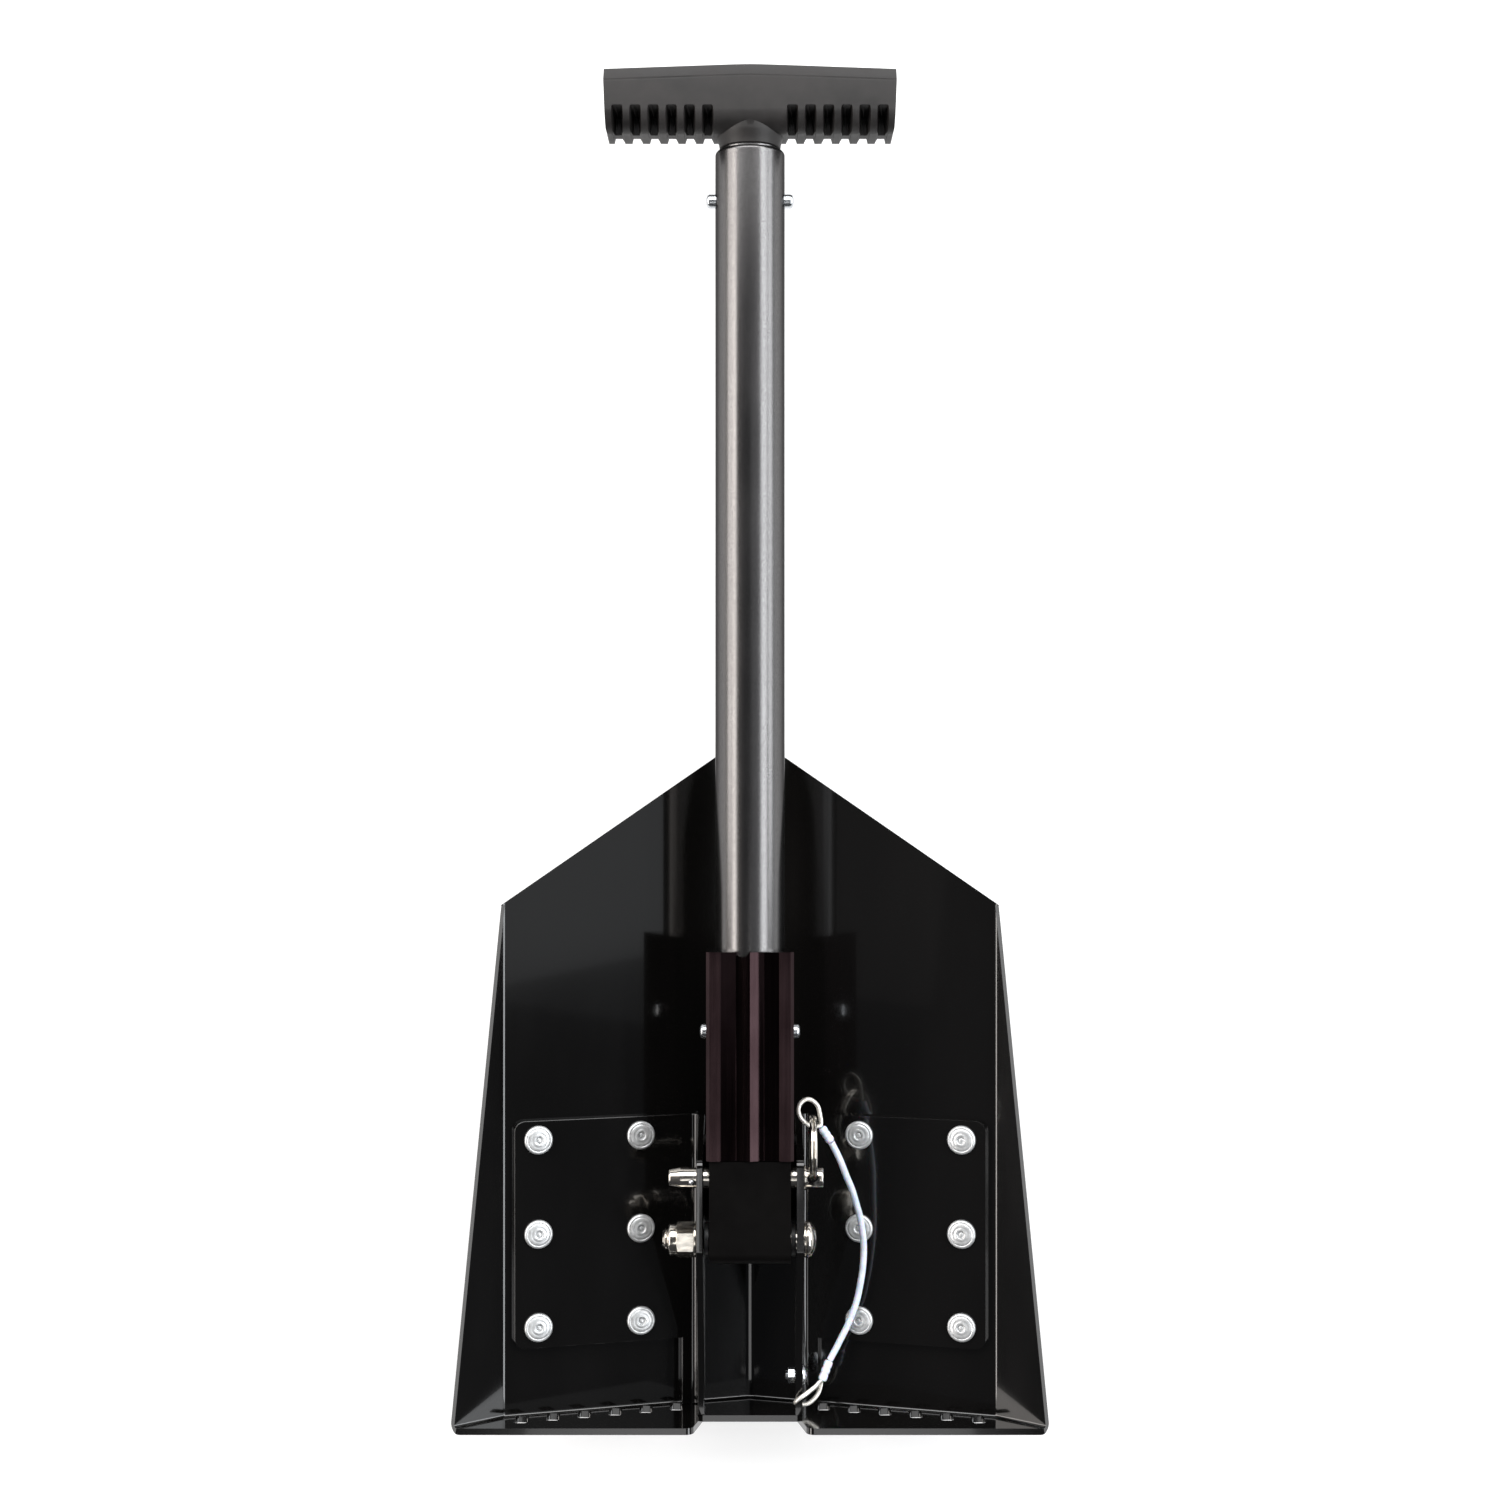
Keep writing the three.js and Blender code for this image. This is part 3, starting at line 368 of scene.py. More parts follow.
class Finish:
    """A material with a Principled shader, and short ways to wire procedural nodes to it."""

    def __init__(self, name):
        self.material = bpy.data.materials.new(name)
        self.material.use_nodes = True
        self.tree = self.material.node_tree
        self.shader = self.tree.nodes["Principled BSDF"]
        self.where = self.tree.nodes.new("ShaderNodeTexCoord").outputs["Object"]

    def even(self, sockets):
        """Shader values that are the same all over."""
        for socket, value in sockets.items():
            self.shader.inputs[socket].default_value = value

    def node(self, kind, inputs):
        """A new node, with each input given as a value or as the output that feeds it."""
        made = self.tree.nodes.new(f"ShaderNode{kind}")
        for name, value in inputs.items():
            if isinstance(value, bpy.types.NodeSocket):
                self.tree.links.new(value, made.inputs[name])
            else:
                made.inputs[name].default_value = value
        return made

    def noise(self, scale, detail, stretch=(1, 1, 1)):
        where = self.node("Mapping", {"Vector": self.where, "Scale": stretch}).outputs["Vector"]
        return self.node("TexNoise", {"Vector": where, "Scale": scale, "Detail": detail}).outputs[0]

    def rings(self, scale):
        texture = self.node("TexWave", {"Vector": self.where, "Scale": scale, "Distortion": 0.4})
        texture.wave_type = "RINGS"
        texture.rings_direction = "Z"
        return texture.outputs["Fac"]

    def colour(self, source, dark, light):
        ramp = self.node("ValToRGB", {"Fac": source})
        for number, position, shade in ((0, 0.35, dark), (1, 0.65, light)):
            ramp.color_ramp.elements[number].position = position
            ramp.color_ramp.elements[number].color = (*shade, 1)
        self.tree.links.new(ramp.outputs["Color"], self.shader.inputs["Base Color"])

    def roughness(self, source, smoothest, roughest):
        mapped = self.node("MapRange", {
            "Value": source, "From Min": 0.3, "From Max": 0.7, "To Min": smoothest, "To Max": roughest,
        })
        self.tree.links.new(mapped.outputs["Result"], self.shader.inputs["Roughness"])

    def bump(self, source, strength, depth):
        """depth in millimetres"""
        bump = self.node("Bump", {"Height": source, "Strength": strength, "Distance": depth * MM})
        self.tree.links.new(bump.outputs["Normal"], self.shader.inputs["Normal"])


def powder_coat(finish):
    """Gloss black powder coat: a little orange peel under a hard clear surface, and faint wipe marks."""
    finish.even({"Specular IOR Level": 0.4, "Coat Weight": 0.6, "Coat Roughness": 0.04})
    wiped = finish.noise(14, 4, (1.0, 0.35, 1.0))
    finish.colour(wiped, (0.0015, 0.0014, 0.0013), (0.0025, 0.0023, 0.0022))
    finish.roughness(wiped, 0.08, 0.17)
    finish.bump(finish.noise(420, 2), 0.10, 0.03)


def satin_tube(finish):
    """Bead-blasted anodised aluminium."""
    finish.even({"Metallic": 0.98, "Specular Tint": (0.3, 0.3, 0.3, 1)})
    finish.colour(finish.noise(2600, 2), (0.085, 0.083, 0.083), (0.140, 0.137, 0.137))
    finish.roughness(finish.noise(60, 3, (1.0, 0.3, 1.0)), 0.21, 0.26)
    finish.bump(finish.noise(3200, 1), 0.12, 0.02)


def anodised_sleeve(finish):
    """Black anodising that has turned purple, on a drawn extrusion."""
    finish.even({"Metallic": 1.0})
    drawn = finish.noise(900, 3, (1.0, 0.015, 1.0))
    finish.colour(finish.noise(70, 4, (1.0, 0.5, 1.0)), (0.016, 0.0095, 0.0105), (0.026, 0.016, 0.0175))
    finish.roughness(drawn, 0.10, 0.17)
    finish.bump(drawn, 0.08, 0.01)


def grip_plastic(finish):
    """Moulded glass-filled nylon, fine grained and a little cloudy."""
    finish.even({"Specular IOR Level": 0.3})
    cloudy = finish.noise(65, 4)
    finish.colour(cloudy, (0.007, 0.0062, 0.006), (0.016, 0.0144, 0.014))
    finish.roughness(cloudy, 0.44, 0.58)
    finish.bump(finish.noise(1500, 3), 0.25, 0.06)


def matte_black(finish):
    """Hard black finish on the pivot block and its cross pin."""
    finish.even({"Specular IOR Level": 0.05})
    finish.colour(finish.noise(45, 4), (0.0012, 0.0010, 0.0010), (0.0020, 0.0018, 0.0017))
    finish.roughness(finish.noise(220, 3), 0.48, 0.6)
    finish.bump(finish.noise(2000, 2), 0.15, 0.03)


def nickel(finish):
    finish.even({"Metallic": 1.0})
    finish.colour(finish.noise(160, 3), (0.60, 0.56, 0.50), (0.74, 0.70, 0.64))
    finish.roughness(finish.noise(900, 2, (0.2, 1.0, 1.0)), 0.12, 0.24)
    finish.bump(finish.noise(700, 3), 0.08, 0.02)


def rivet_aluminium(finish):
    """Bright aluminium with the rings that the setting tool leaves."""
    finish.even({"Metallic": 0.65})
    finish.colour(finish.noise(500, 3), (0.50, 0.51, 0.515), (0.66, 0.67, 0.675))
    finish.roughness(finish.noise(1100, 2), 0.3, 0.42)
    finish.bump(finish.rings(480), 0.1, 0.02)


def steel(finish):
    """Zinc-plated steel."""
    finish.even({"Metallic": 1.0})
    finish.colour(finish.noise(260, 3), (0.46, 0.48, 0.50), (0.62, 0.64, 0.66))
    finish.roughness(finish.noise(1200, 2), 0.20, 0.34)
    finish.bump(finish.noise(1500, 2), 0.1, 0.02)


def spring_steel(finish):
    finish.even({"Metallic": 1.0})
    finish.colour(finish.noise(120, 3), (0.25, 0.26, 0.28), (0.34, 0.35, 0.37))
    finish.roughness(finish.noise(700, 2, (1.0, 0.1, 1.0)), 0.3, 0.42)


def coated_cable(finish):
    """Milky nylon over the lanyard's wire."""
    finish.even({"Subsurface Weight": 0.5, "Subsurface Scale": 0.0012, "Coat Weight": 0.35,
                 "Coat Roughness": 0.15})
    finish.colour(finish.noise(380, 2, (1.0, 1.0, 0.4)), (0.62, 0.68, 0.80), (0.74, 0.79, 0.88))
    finish.roughness(finish.noise(600, 2), 0.28, 0.4)


def wire(finish):
    finish.even({"Metallic": 0.75})
    finish.colour(finish.noise(900, 2), (0.72, 0.69, 0.63), (0.90, 0.88, 0.83))
    finish.roughness(finish.noise(1500, 2), 0.24, 0.4)


def washer_nylon(finish):
    finish.even({"Subsurface Weight": 0.2, "Subsurface Scale": 0.001})
    finish.colour(finish.noise(300, 2), (0.014, 0.014, 0.015), (0.022, 0.022, 0.023))
    finish.roughness(finish.noise(900, 2), 0.4, 0.52)


LOOKS = {}
for look in (
    powder_coat, satin_tube, anodised_sleeve, grip_plastic, matte_black, nickel, rivet_aluminium, steel,
    spring_steel, coated_cable, wire, washer_nylon,
):
    made = Finish(look.__name__)
    look(made)
    LOOKS[look.__name__] = made.material


# ---- lanyard

CABLE_R = 1.55
WIRE_R = 1.05
FERRULE_R = 2.05
LOCK_PIN_REACHED = 2  # the route's point where the cable's two pieces meet

# the cable from the upper ferrule to the lower one
ROUTE = [
    (37.2, -179.6, -2), (41.2, -188, -5), (44.5, -196.6, -8.5), (47.2, -203.4, -12), (49.2, -210.1, -15.5),
    (51.1, -217, -18.5), (52.3, -223.7, -20.5), (53, -229.7, -22.3), (53.1, -235.8, -23.8),
    (52.6, -243.6, -25), (51.4, -251.3, -25.8), (50, -258, -26.4), (47.9, -264.3, -27),
    (45.6, -270.2, -27.6), (42.8, -275.9, -28), (40.2, -281.1, -28.2), (37.5, -286.1, -28.2),
]
UPPER_EYE = [
    (32.1, -171.4, 0), (31.9, -166.6, 0), (30.6, -162.2, 0), (26.8, -159.6, 0),
    (23.2, -161.3, 0), (22.1, -165, 0), (23.7, -168.9, 0), (27.6, -171.6, 0),
]
LOWER_EYE = [
    (33.2, -295.8, -25.9), (30.4, -296.8, -20.6), (26.4, -298.9, -17.4), (22.8, -301.5, -17.8),
    (21.2, -304.2, -21.2), (23.4, -305.9, -24.1), (27.6, -305.5, -24.9), (31.8, -301.6, -26.6),
]
UPPER_FERRULE = [(32.7, -172.6, 0), (37, -179.2, -1.9)]
LOWER_FERRULE = [(37.2, -286.5, -28.2), (33.7, -295.4, -26.4)]


def cable_piece(name, points):
    """One part of the cable, and its path."""
    line = smooth_line(points, 10)
    obj = smoothed(build(name, sweep(line, disc(CABLE_R, 20))), 50)
    dress(obj, "coated_cable", None, "lanyard_cable")
    path = [in_frame(p) for p in line]
    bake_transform(obj)
    return obj, path


def wire_eye(name, points, body, node):
    """A bare eye of the cable's wire: six strands laid round a core."""
    line = smooth_line(points, 20, closed=True)
    strand, strands = WIRE_R / 3, 6
    core = strand * 1.05
    turns = 9  # of each strand round the core, in one eye
    shapes = [sweep(line, disc(core, 8), closed=True)]
    frames = line_frames(line, closed=True)
    for number in range(strands):
        track = []
        for i, (at, (_, side, other)) in enumerate(zip(line, frames)):
            angle = 2 * math.pi * (number / strands + turns * i / len(line))
            track.append(at + (side * math.cos(angle) + other * math.sin(angle)) * strand * 2)
        shapes.append(sweep(track, disc(strand, 8), closed=True))
    obj = build(name, combined(*shapes))
    obj.data.shade_smooth()
    return dress(obj, "wire", body, node)


def ferrule(name, ends, body, node):
    """A crimped sleeve with two rows of tool marks."""
    start, along = Vector(ends[0]), Vector(ends[1]) - Vector(ends[0])
    length = along.length
    profile = [(0, 0), (FERRULE_R - 0.7, 0), (FERRULE_R - 0.15, 0.5), (FERRULE_R, 1.1)]
    for middle in (0.36, 0.64):
        for offset, depth in ((-0.7, 0), (-0.35, 0.22), (0.35, 0.22), (0.7, 0)):
            profile.append((FERRULE_R - depth, middle * length + offset))
    profile += [(FERRULE_R, length - 0.9), (FERRULE_R - 0.25, length - 0.3), (FERRULE_R - 0.6, length),
                (0, length)]
    obj = smoothed(build(name, lathe(profile, along, start, 40)), 50)
    return dress(obj, "coated_cable", body, node)


def lanyard():
    eye_up = wire_eye("upper_eye", UPPER_EYE, "pull_ring", "lanyard_eye_upper")
    eye_low = wire_eye("lower_eye", LOWER_EYE, "blade", "lanyard_eye_lower")
    crimp_up = ferrule("upper_ferrule", UPPER_FERRULE, "pull_ring", "lanyard_ferrule_upper")
    crimp_low = ferrule("lower_ferrule", LOWER_FERRULE, "blade", "lanyard_ferrule_lower")
    to_blade, to_ring = ROUTE[LOCK_PIN_REACHED:], ROUTE[: LOCK_PIN_REACHED + 1]
    upper, _ = cable_piece("upper_cable", to_ring[::-1])
    lower, path = cable_piece("lower_cable", to_blade[::-1])


lanyard()


# ---- blade

blade_box = Box("blade_scoop")
bracket_box = Box("bracket_right")
pivot_y = JOINTS["fold"]["pos_m"][1] / MM
pin_y = JOINTS["ring_swing"]["pos_m"][1] / MM

SHEET = 3
VALLEY = -51  # height of the blade's inside along its centre line, before the bend is rounded
FLOOR_SLOPE = 0.291
FLOOR_ANGLE = math.atan(FLOOR_SLOPE)
FOLD_X = 114.3  # where the floor turns up into the side wall
WALL_ANGLE = math.radians(38.3)
WALL_TOP_X = 137.5  # outermost edge of the side wall, before the rear corner is rounded
SHOULDER = (115.9, -72.2)  # where the cutting edge ends
NOTCH_X, NOTCH_TOP_X = 22.05, 26.4
NOTCH_Z = -20.5
RIM = blade_box.z1
FOLD_R, CREASE_R, REAR_R = 4, 8, 1.5  # inside radii of the bends
EDGE_SHOWN = SHEET * math.sin(WALL_ANGLE)

PLATE = 3.2  # the brackets' thickness
FACE_GAP = 0.2
RIVET_R = 3.2  # of the shank
SHANK_R = 4.75  # of the pivot bolt and the lock pin
HINGE_HOLE_R = 5.05  # for the bolt and the lock pin
RIVETS = [(x, y) for x in (52.4, 99.4) for y in (-181.4, -225.2, -268.6)]


def floor_at(x):
    return VALLEY + FLOOR_SLOPE * abs(x)


def floor_normal(side):
    return Vector((-side * math.sin(FLOOR_ANGLE), 0, math.cos(FLOOR_ANGLE)))


def folded_sheet(name, panels, bend, thickness):
    """Two flat panels that share a bend line, rounded there and thickened below the larger one.
    The bend is (from, to, inside radius, turn)."""
    start, end, radius, turn = bend
    shapes = [([Vector(p) for p in panel], [list(range(len(panel)))]) for panel in panels]
    obj = build(name, combined(*shapes), outward=False)
    bm = bmesh.new()
    bm.from_mesh(obj.data)
    bmesh.ops.remove_doubles(bm, verts=bm.verts, dist=0.01 * MM)
    bmesh.ops.recalc_face_normals(bm, faces=bm.faces)
    if max(bm.faces, key=lambda face: face.calc_area()).normal.z < 0:
        bmesh.ops.reverse_faces(bm, faces=bm.faces)
    weight = bm.edges.layers.float.new("bevel_weight_edge")
    ends = [in_frame(start), in_frame(end)]
    for edge in bm.edges:
        if all(min((v.co - point).length for point in ends) < 0.05 * MM for v in edge.verts):
            edge[weight] = 1
    bm.to_mesh(obj.data)
    bm.free()
    rounding = obj.modifiers.new("bend", "BEVEL")
    rounding.limit_method = "WEIGHT"
    rounding.width = radius * math.tan(turn / 2) * MM
    rounding.segments = 8
    rounding.use_clamp_overlap = False
    rounding.loop_slide = False
    thick = obj.modifiers.new("thickness", "SOLIDIFY")
    thick.thickness = thickness * MM
    thick.offset = -1
    thick.use_even_offset = True
    thick.use_quality_normals = True
    return settle(obj)


def rivet_holes(*sides):
    holes = []
    for side in sides:
        for x, y in RIVETS:
            centre = (side * x, y, floor_at(x))
            holes.append(cylinder(RIVET_R + 0.1, -8, 8, floor_normal(side), centre, 32))
    return combined(*holes)


def rear_slots():
    """Six upright slots a side, which follow the floor out towards the corners."""
    half, lift, height, corner_r = 3, 1, 11, 1.5
    slots = []
    for x in row(first=34.7, pitch=14.2, count=6):
        bottom = floor_at(x) + lift
        outline = rectangle(x - half, bottom, x + half, bottom + height, corner_r)
        slots.append(prism(outline, "xz", blade_box.y0 - 5, blade_box.y0 + SHEET + 5))
    return combined(*slots)


def grown(outline, amount):
    """A convex outline, counted anticlockwise, moved outwards by that amount."""
    out = []
    for i, here in enumerate(outline):
        back = (Vector(here) - Vector(outline[i - 1])).normalized()
        on = (Vector(outline[(i + 1) % len(outline)]) - Vector(here)).normalized()
        normals = [Vector((d.y, -d.x)) for d in (back, on)]
        out.append(Vector(here) + (normals[0] + normals[1]) * amount / (1 + normals[0].dot(normals[1])))
    return out


def trough(extra, rear, height):
    """The space inside the blade up to that height as a solid, or with that much extra all round."""
    edge = floor_at(FOLD_X)
    wall = FOLD_X + (height - edge) / math.tan(WALL_ANGLE)
    sharp = [(-wall, height), (-FOLD_X, edge), (0, VALLEY), (FOLD_X, edge), (wall, height)]
    outline = rounded(grown(sharp, extra), {1: FOLD_R + extra, 2: CREASE_R + extra, 3: FOLD_R + extra}, 8)
    fillet = REAR_R + extra
    steps = 8
    rings = []
    for i in range(steps + 1):
        angle = math.pi / 2 * i / steps
        y = rear - extra + fillet * (1 - math.cos(angle))
        rings.append([(x, y, z) for x, z in grown(outline, fillet * (math.sin(angle) - 1))])
    rings.append([(x, blade_box.y1 + 20, z) for x, z in outline])
    return skin(rings)


def wall_trim(side):
    """Everything beyond one side wall's slanting top edge, which is cut square to the sheet."""
    up = Vector((math.cos(WALL_ANGLE), 0, math.sin(WALL_ANGLE)))
    inward = Vector((-math.sin(WALL_ANGLE), 0, math.cos(WALL_ANGLE)))
    front, rear, far, past = SHOULDER[1], blade_box.y0, 200, 10
    widths = (SHOULDER[0], WALL_TOP_X)
    front_top, rear_top = [(x - EDGE_SHOWN - FOLD_X) / math.cos(WALL_ANGLE) for x in widths]
    past_top = rear_top + (rear_top - front_top) * past / (front - rear)
    outline = [(front_top, front), (past_top, rear - past), (far, rear - past), (far, front)]
    fold = Vector((FOLD_X, 0, floor_at(FOLD_X)))
    ring = [fold + up * u + Vector((0, y, 0)) for u, y in outline]
    shape = skin([[point + inward * level for point in ring] for level in (-far, far)])
    return shape if side > 0 else mirrored(shape)


def blade():
    rear, inner_rear, far = blade_box.y0, blade_box.y0 + SHEET, 250
    above, higher = 60, 80  # both over the walls' tops, so that the trough is open
    obj = build("blade", trough(SHEET, inner_rear, above))
    carve(obj, trough(0, inner_rear, higher))
    beyond_edge = [
        (0, blade_box.y1), SHOULDER, (far, SHOULDER[1]), (far, far), (-far, far), (-far, SHOULDER[1]),
        (-SHOULDER[0], SHOULDER[1]),
    ]
    carve(obj, prism(beyond_edge, "xy", -far, far))
    for side in SIDES.values():
        carve(obj, wall_trim(side))
    notch_r, corner_r = 4, 4.5
    above_rim = rounded([
        (-far, RIM), (-NOTCH_TOP_X, RIM), (-NOTCH_X, NOTCH_Z), (NOTCH_X, NOTCH_Z), (NOTCH_TOP_X, RIM),
        (far, RIM), (far, far), (-far, far),
    ], {1: notch_r, 4: notch_r})
    carve(obj, prism(above_rim, "xz", rear - 5, inner_rear + 1))
    slant = (SHOULDER[0] - WALL_TOP_X) / (SHOULDER[1] - rear)
    side_edge = (WALL_TOP_X + 50 * slant, rear + 50)
    corner = rounded([(0, rear), (WALL_TOP_X, rear), side_edge], {1: corner_r}, 8)[1:-1]
    outside = WALL_TOP_X + 10
    corner += [(outside, corner[-1][1]), (outside, rear - 10), (corner[0][0], rear - 10)]
    beyond = prism(corner, "xy", -far, far)
    carve(obj, combined(beyond, mirrored(beyond)))
    soften(obj, 0.6, 3)
    carve(obj, combined(rear_slots(), rivet_holes(*SIDES.values())))
    soften(obj, 0.2, 2)
    dress(obj, "powder_coat", "blade", "blade_scoop")


# ---- brackets


def bracket(name):
    """A flange on the floor, bent up into the ear and the low rib that runs to the rear wall."""
    side = SIDES[name]
    ear = bracket_box.x0 + PLATE
    lift = (FACE_GAP + PLATE) / math.cos(FLOOR_ANGLE)
    front, end = bracket_box.y1, bracket_box.y0
    flange_end, foot = -278.4, 32.2
    ear_top, rib_top, bend_r = bracket_box.z1, -20, 3
    ear_front, ear_rear = -186.5, -228.1  # its flat top
    flange_r, ear_r = 5, 4
    turn = math.pi / 2 + FLOOR_ANGLE
    setback = bend_r / math.tan((math.pi / 2 - FLOOR_ANGLE) / 2)

    def low(x):
        return floor_at(x) + lift

    plan = rounded([
        (ear, front), (bracket_box.x1, front), (bracket_box.x1, flange_end), (foot, flange_end), (foot, end),
        (ear, end),
    ], {1: flange_r, 2: flange_r}, 8)
    profile = rounded([
        (front, low(ear)), (front, low(ear) + setback), (ear_front, ear_top), (ear_rear, ear_top),
        (flange_end, rib_top), (end, rib_top), (end, low(ear)),
    ], {2: ear_r, 3: ear_r}, 8)
    flange = [(side * x, y, low(x)) for x, y in plan]
    upright = [(side * ear, y, z) for y, z in profile]
    bend = ((side * ear, front, low(ear)), (side * ear, end, low(ear)), bend_r, turn)
    obj = folded_sheet(f"{name}_bracket", [flange, upright], bend, PLATE)
    holes = [cross_hole(HINGE_HOLE_R, y) for y in (pivot_y, pin_y)]
    if side > 0:
        screw, lanyard_hole = Box("rib_screw"), (-304.3, -24.6)
        holes += [cross_hole(2.7, screw.y, screw.z, 32), cross_hole(2.6, *lanyard_hole, 32)]
    carve(obj, combined(rivet_holes(side), *holes))
    soften(obj, 0.8, 4)
    dress(obj, "powder_coat", "blade", f"bracket_{name}")


def rivets():
    """Blind rivets: a low dome with a ring round its dimple, and the stub of the mandrel in it."""
    under = PLATE + 2 * FACE_GAP
    radius = 6.65
    blind = -SHEET - FACE_GAP
    profile = [
        (0, blind - 2.2), (RIVET_R - 0.4, blind - 2.2), (RIVET_R + 0.9, -SHEET - 1.6),
        (RIVET_R * 1.45, blind), (RIVET_R, blind), (RIVET_R, under),
        (radius - 0.25, under), (radius, under + 0.25), (radius, under + 0.8), (radius - 0.25, under + 1.3),
        (radius - 0.75, under + 1.6), (radius - 1.2, under + 1.62), (radius - 1.4, under + 1.5),
        (radius - 1.6, under + 1.65), (3.6, under + 1.95), (3.3, under + 1.85), (3.0, under + 2.02),
        (2.25, under + 2.12), (1.95, under + 2.1), (1.75, under + 1.9), (1.6, under + 1.3),
        (1.25, under + 1.2), (1.1, under + 1.5), (0.8, under + 1.7), (0, under + 1.65),
    ]
    shape = lathe(profile, ALONG_Z, sides=56)
    for name, side in SIDES.items():
        for number, (x, y) in enumerate(RIVETS, 1):
            obj = smoothed(build(f"{name}_rivet_{number}", shape), 50)
            obj.data.transform(Matrix.Translation(-in_frame((0, 0, 0))))
            tilt = Vector(ALONG_Z).rotation_difference(floor_normal(side))
            obj.matrix_world = Matrix.LocRotScale(in_frame((side * x, y, floor_at(x))), tilt, None)
            dress(obj, "rivet_aluminium", "blade", f"rivet_{name}_{number}")


blade()
for side_name in SIDES:
    bracket(side_name)
rivets()


# ---- pivot bolt, nut, washers, screw


def turned_piece(name, look, body, node, profile, axis, centre=(0, 0, 0), sides=64, socket=None):
    """A lathe-turned piece, with a socket for its key cut out."""
    obj = build(name, lathe(profile, axis, centre, sides))
    if socket:
        carve(obj, socket)
    dress(smoothed(obj, 32), look, body, node)


def threads(radius, low, high, pitch):
    """Profile points of a thread's crests and roots."""
    root = radius - 0.35
    points = []
    for i in range(int((high - low) / pitch)):
        for out, part in ((root, 0.1), (radius, 0.45), (radius, 0.6)):
            points.append((out, low + (i + part) * pitch))
    return points


def pivot_bolt():
    """A button-headed bolt with a hexagon socket, threaded where the nut goes."""
    bolt, washer = Box("pivot_bolt"), Box("pivot_washer_right")
    under = washer.x1 + FACE_GAP
    head_r = (bolt.z1 - bolt.z0) / 2
    shank, end, skirt = SHANK_R, bolt.x0 + 0.6, under + 0.4
    profile = [(0, bolt.x0), (shank - 1.1, bolt.x0), (shank - 0.5, end)]
    profile += threads(shank, end, washer.x0 - 8, 1.3)
    profile += [(shank, washer.x0 - 7), (shank, under), (head_r - 0.2, under), (head_r, under + 0.25)]
    profile += arc((0, skirt), (head_r, bolt.x1 - skirt), 0, math.pi / 2, 12)[1:-1] + [(0, bolt.x1)]
    centre = (0, pivot_y, 0)
    socket = cylinder(3.2, bolt.x1 - 3.1, bolt.x1 + 5, ALONG_X, centre, 6)
    turned_piece("bolt", "nickel", "blade", "pivot_bolt", profile, ALONG_X, centre, socket=socket)


def pivot_nut():
    """A lock nut: a chamfered hexagon with a flat facing up, and a round collar that holds the nylon."""
    nut = Box("pivot_nut")
    widths = sorted((nut.z1 - nut.z0, nut.y1 - nut.y0))
    flat, corner = widths[0] / 2, widths[1] / 2
    inner, outer = -nut.x1, -nut.x0
    top, bore = outer - 3.7, 4.9  # where the hexagon ends, and its bore's radius
    centre, axis = (0, pivot_y, 0), (-1, 0, 0)
    hexagon = [(bore, inner), (corner, inner), (corner, top), (bore, top)]
    obj = build("nut", lathe(hexagon, axis, centre, 6, math.pi / 6))
    past = corner + 0.1
    chamfered = [(0, inner - 1), (corner - 0.3, inner - 1), (past, inner + 0.6),
                 (past, top - (corner - flat) * 0.75), (flat - 0.2, top), (0, top + 0.001)]
    carve(obj, lathe(chamfered, axis, centre, 96), "INTERSECT")
    collar_bore, collar_r, sunk = 5.4, 7, top - 0.6
    collar = [(collar_bore, sunk), (collar_r, sunk), (collar_r, outer - 1.2), (collar_r - 0.3, outer - 0.5),
              (collar_r - 0.9, outer), (collar_bore, outer)]
    carve(obj, lathe(collar, axis, centre, 64), "UNION")
    soften(obj, 0.2, 2)
    dress(obj, "nickel", "blade", "pivot_nut")


def washers():
    for name in SIDES:
        for kind, look, edge in (("pivot_washer", "nickel", 0.25), ("spacer_washer", "washer_nylon", 0.2)):
            flat = Box(f"{kind}_{name}")
            outer = (flat.z1 - flat.z0) / 2
            shape = pipe(outer, HINGE_HOLE_R, flat.x0, flat.x1, ALONG_X, edge, (0, pivot_y, 0))
            dress(soften(build(f"{name}_{kind}", shape), 0), look, "blade", f"{kind}_{name}")


def rib_hardware():
    """The small screw through the right rib, and its nut."""
    screw, nut = Box("rib_screw"), Box("rib_nut")
    head_r, shank = (screw.z1 - screw.z0) / 2, 2.4
    centre = (0, screw.y, screw.z)
    under, end = screw.x1 - 2.6, screw.x0 + 0.4
    profile = [(0, screw.x0), (shank - 0.7, screw.x0), (shank - 0.3, end)]
    profile += threads(shank, end, nut.x1, 0.8)
    profile += [(shank, nut.x1 + 0.3), (shank, under), (head_r, under), (head_r, under + 0.4),
                (head_r * 0.9, under + 1.2), (head_r * 0.65, under + 2.1), (head_r * 0.35, screw.x1 - 0.1),
                (0, screw.x1)]
    socket = cylinder(1.6, screw.x1 - 1.7, screw.x1 + 3, ALONG_X, centre, 6)
    turned_piece("screw", "steel", "blade", "rib_screw", profile, ALONG_X, centre, 48, socket)
    corner, bore = max(nut.y1 - nut.y0, nut.z1 - nut.z0) / 2, shank + 0.05
    body = lathe([(bore, nut.x0), (corner, nut.x0), (corner, nut.x1), (bore, nut.x1)], ALONG_X, centre, 6)
    soften(dress(build("screw_nut", body), "steel", "blade", "rib_nut"), 0.3, 2)


pivot_bolt()
pivot_nut()
washers()
rib_hardware()


# ---- lock pin, detent ball, pull ring


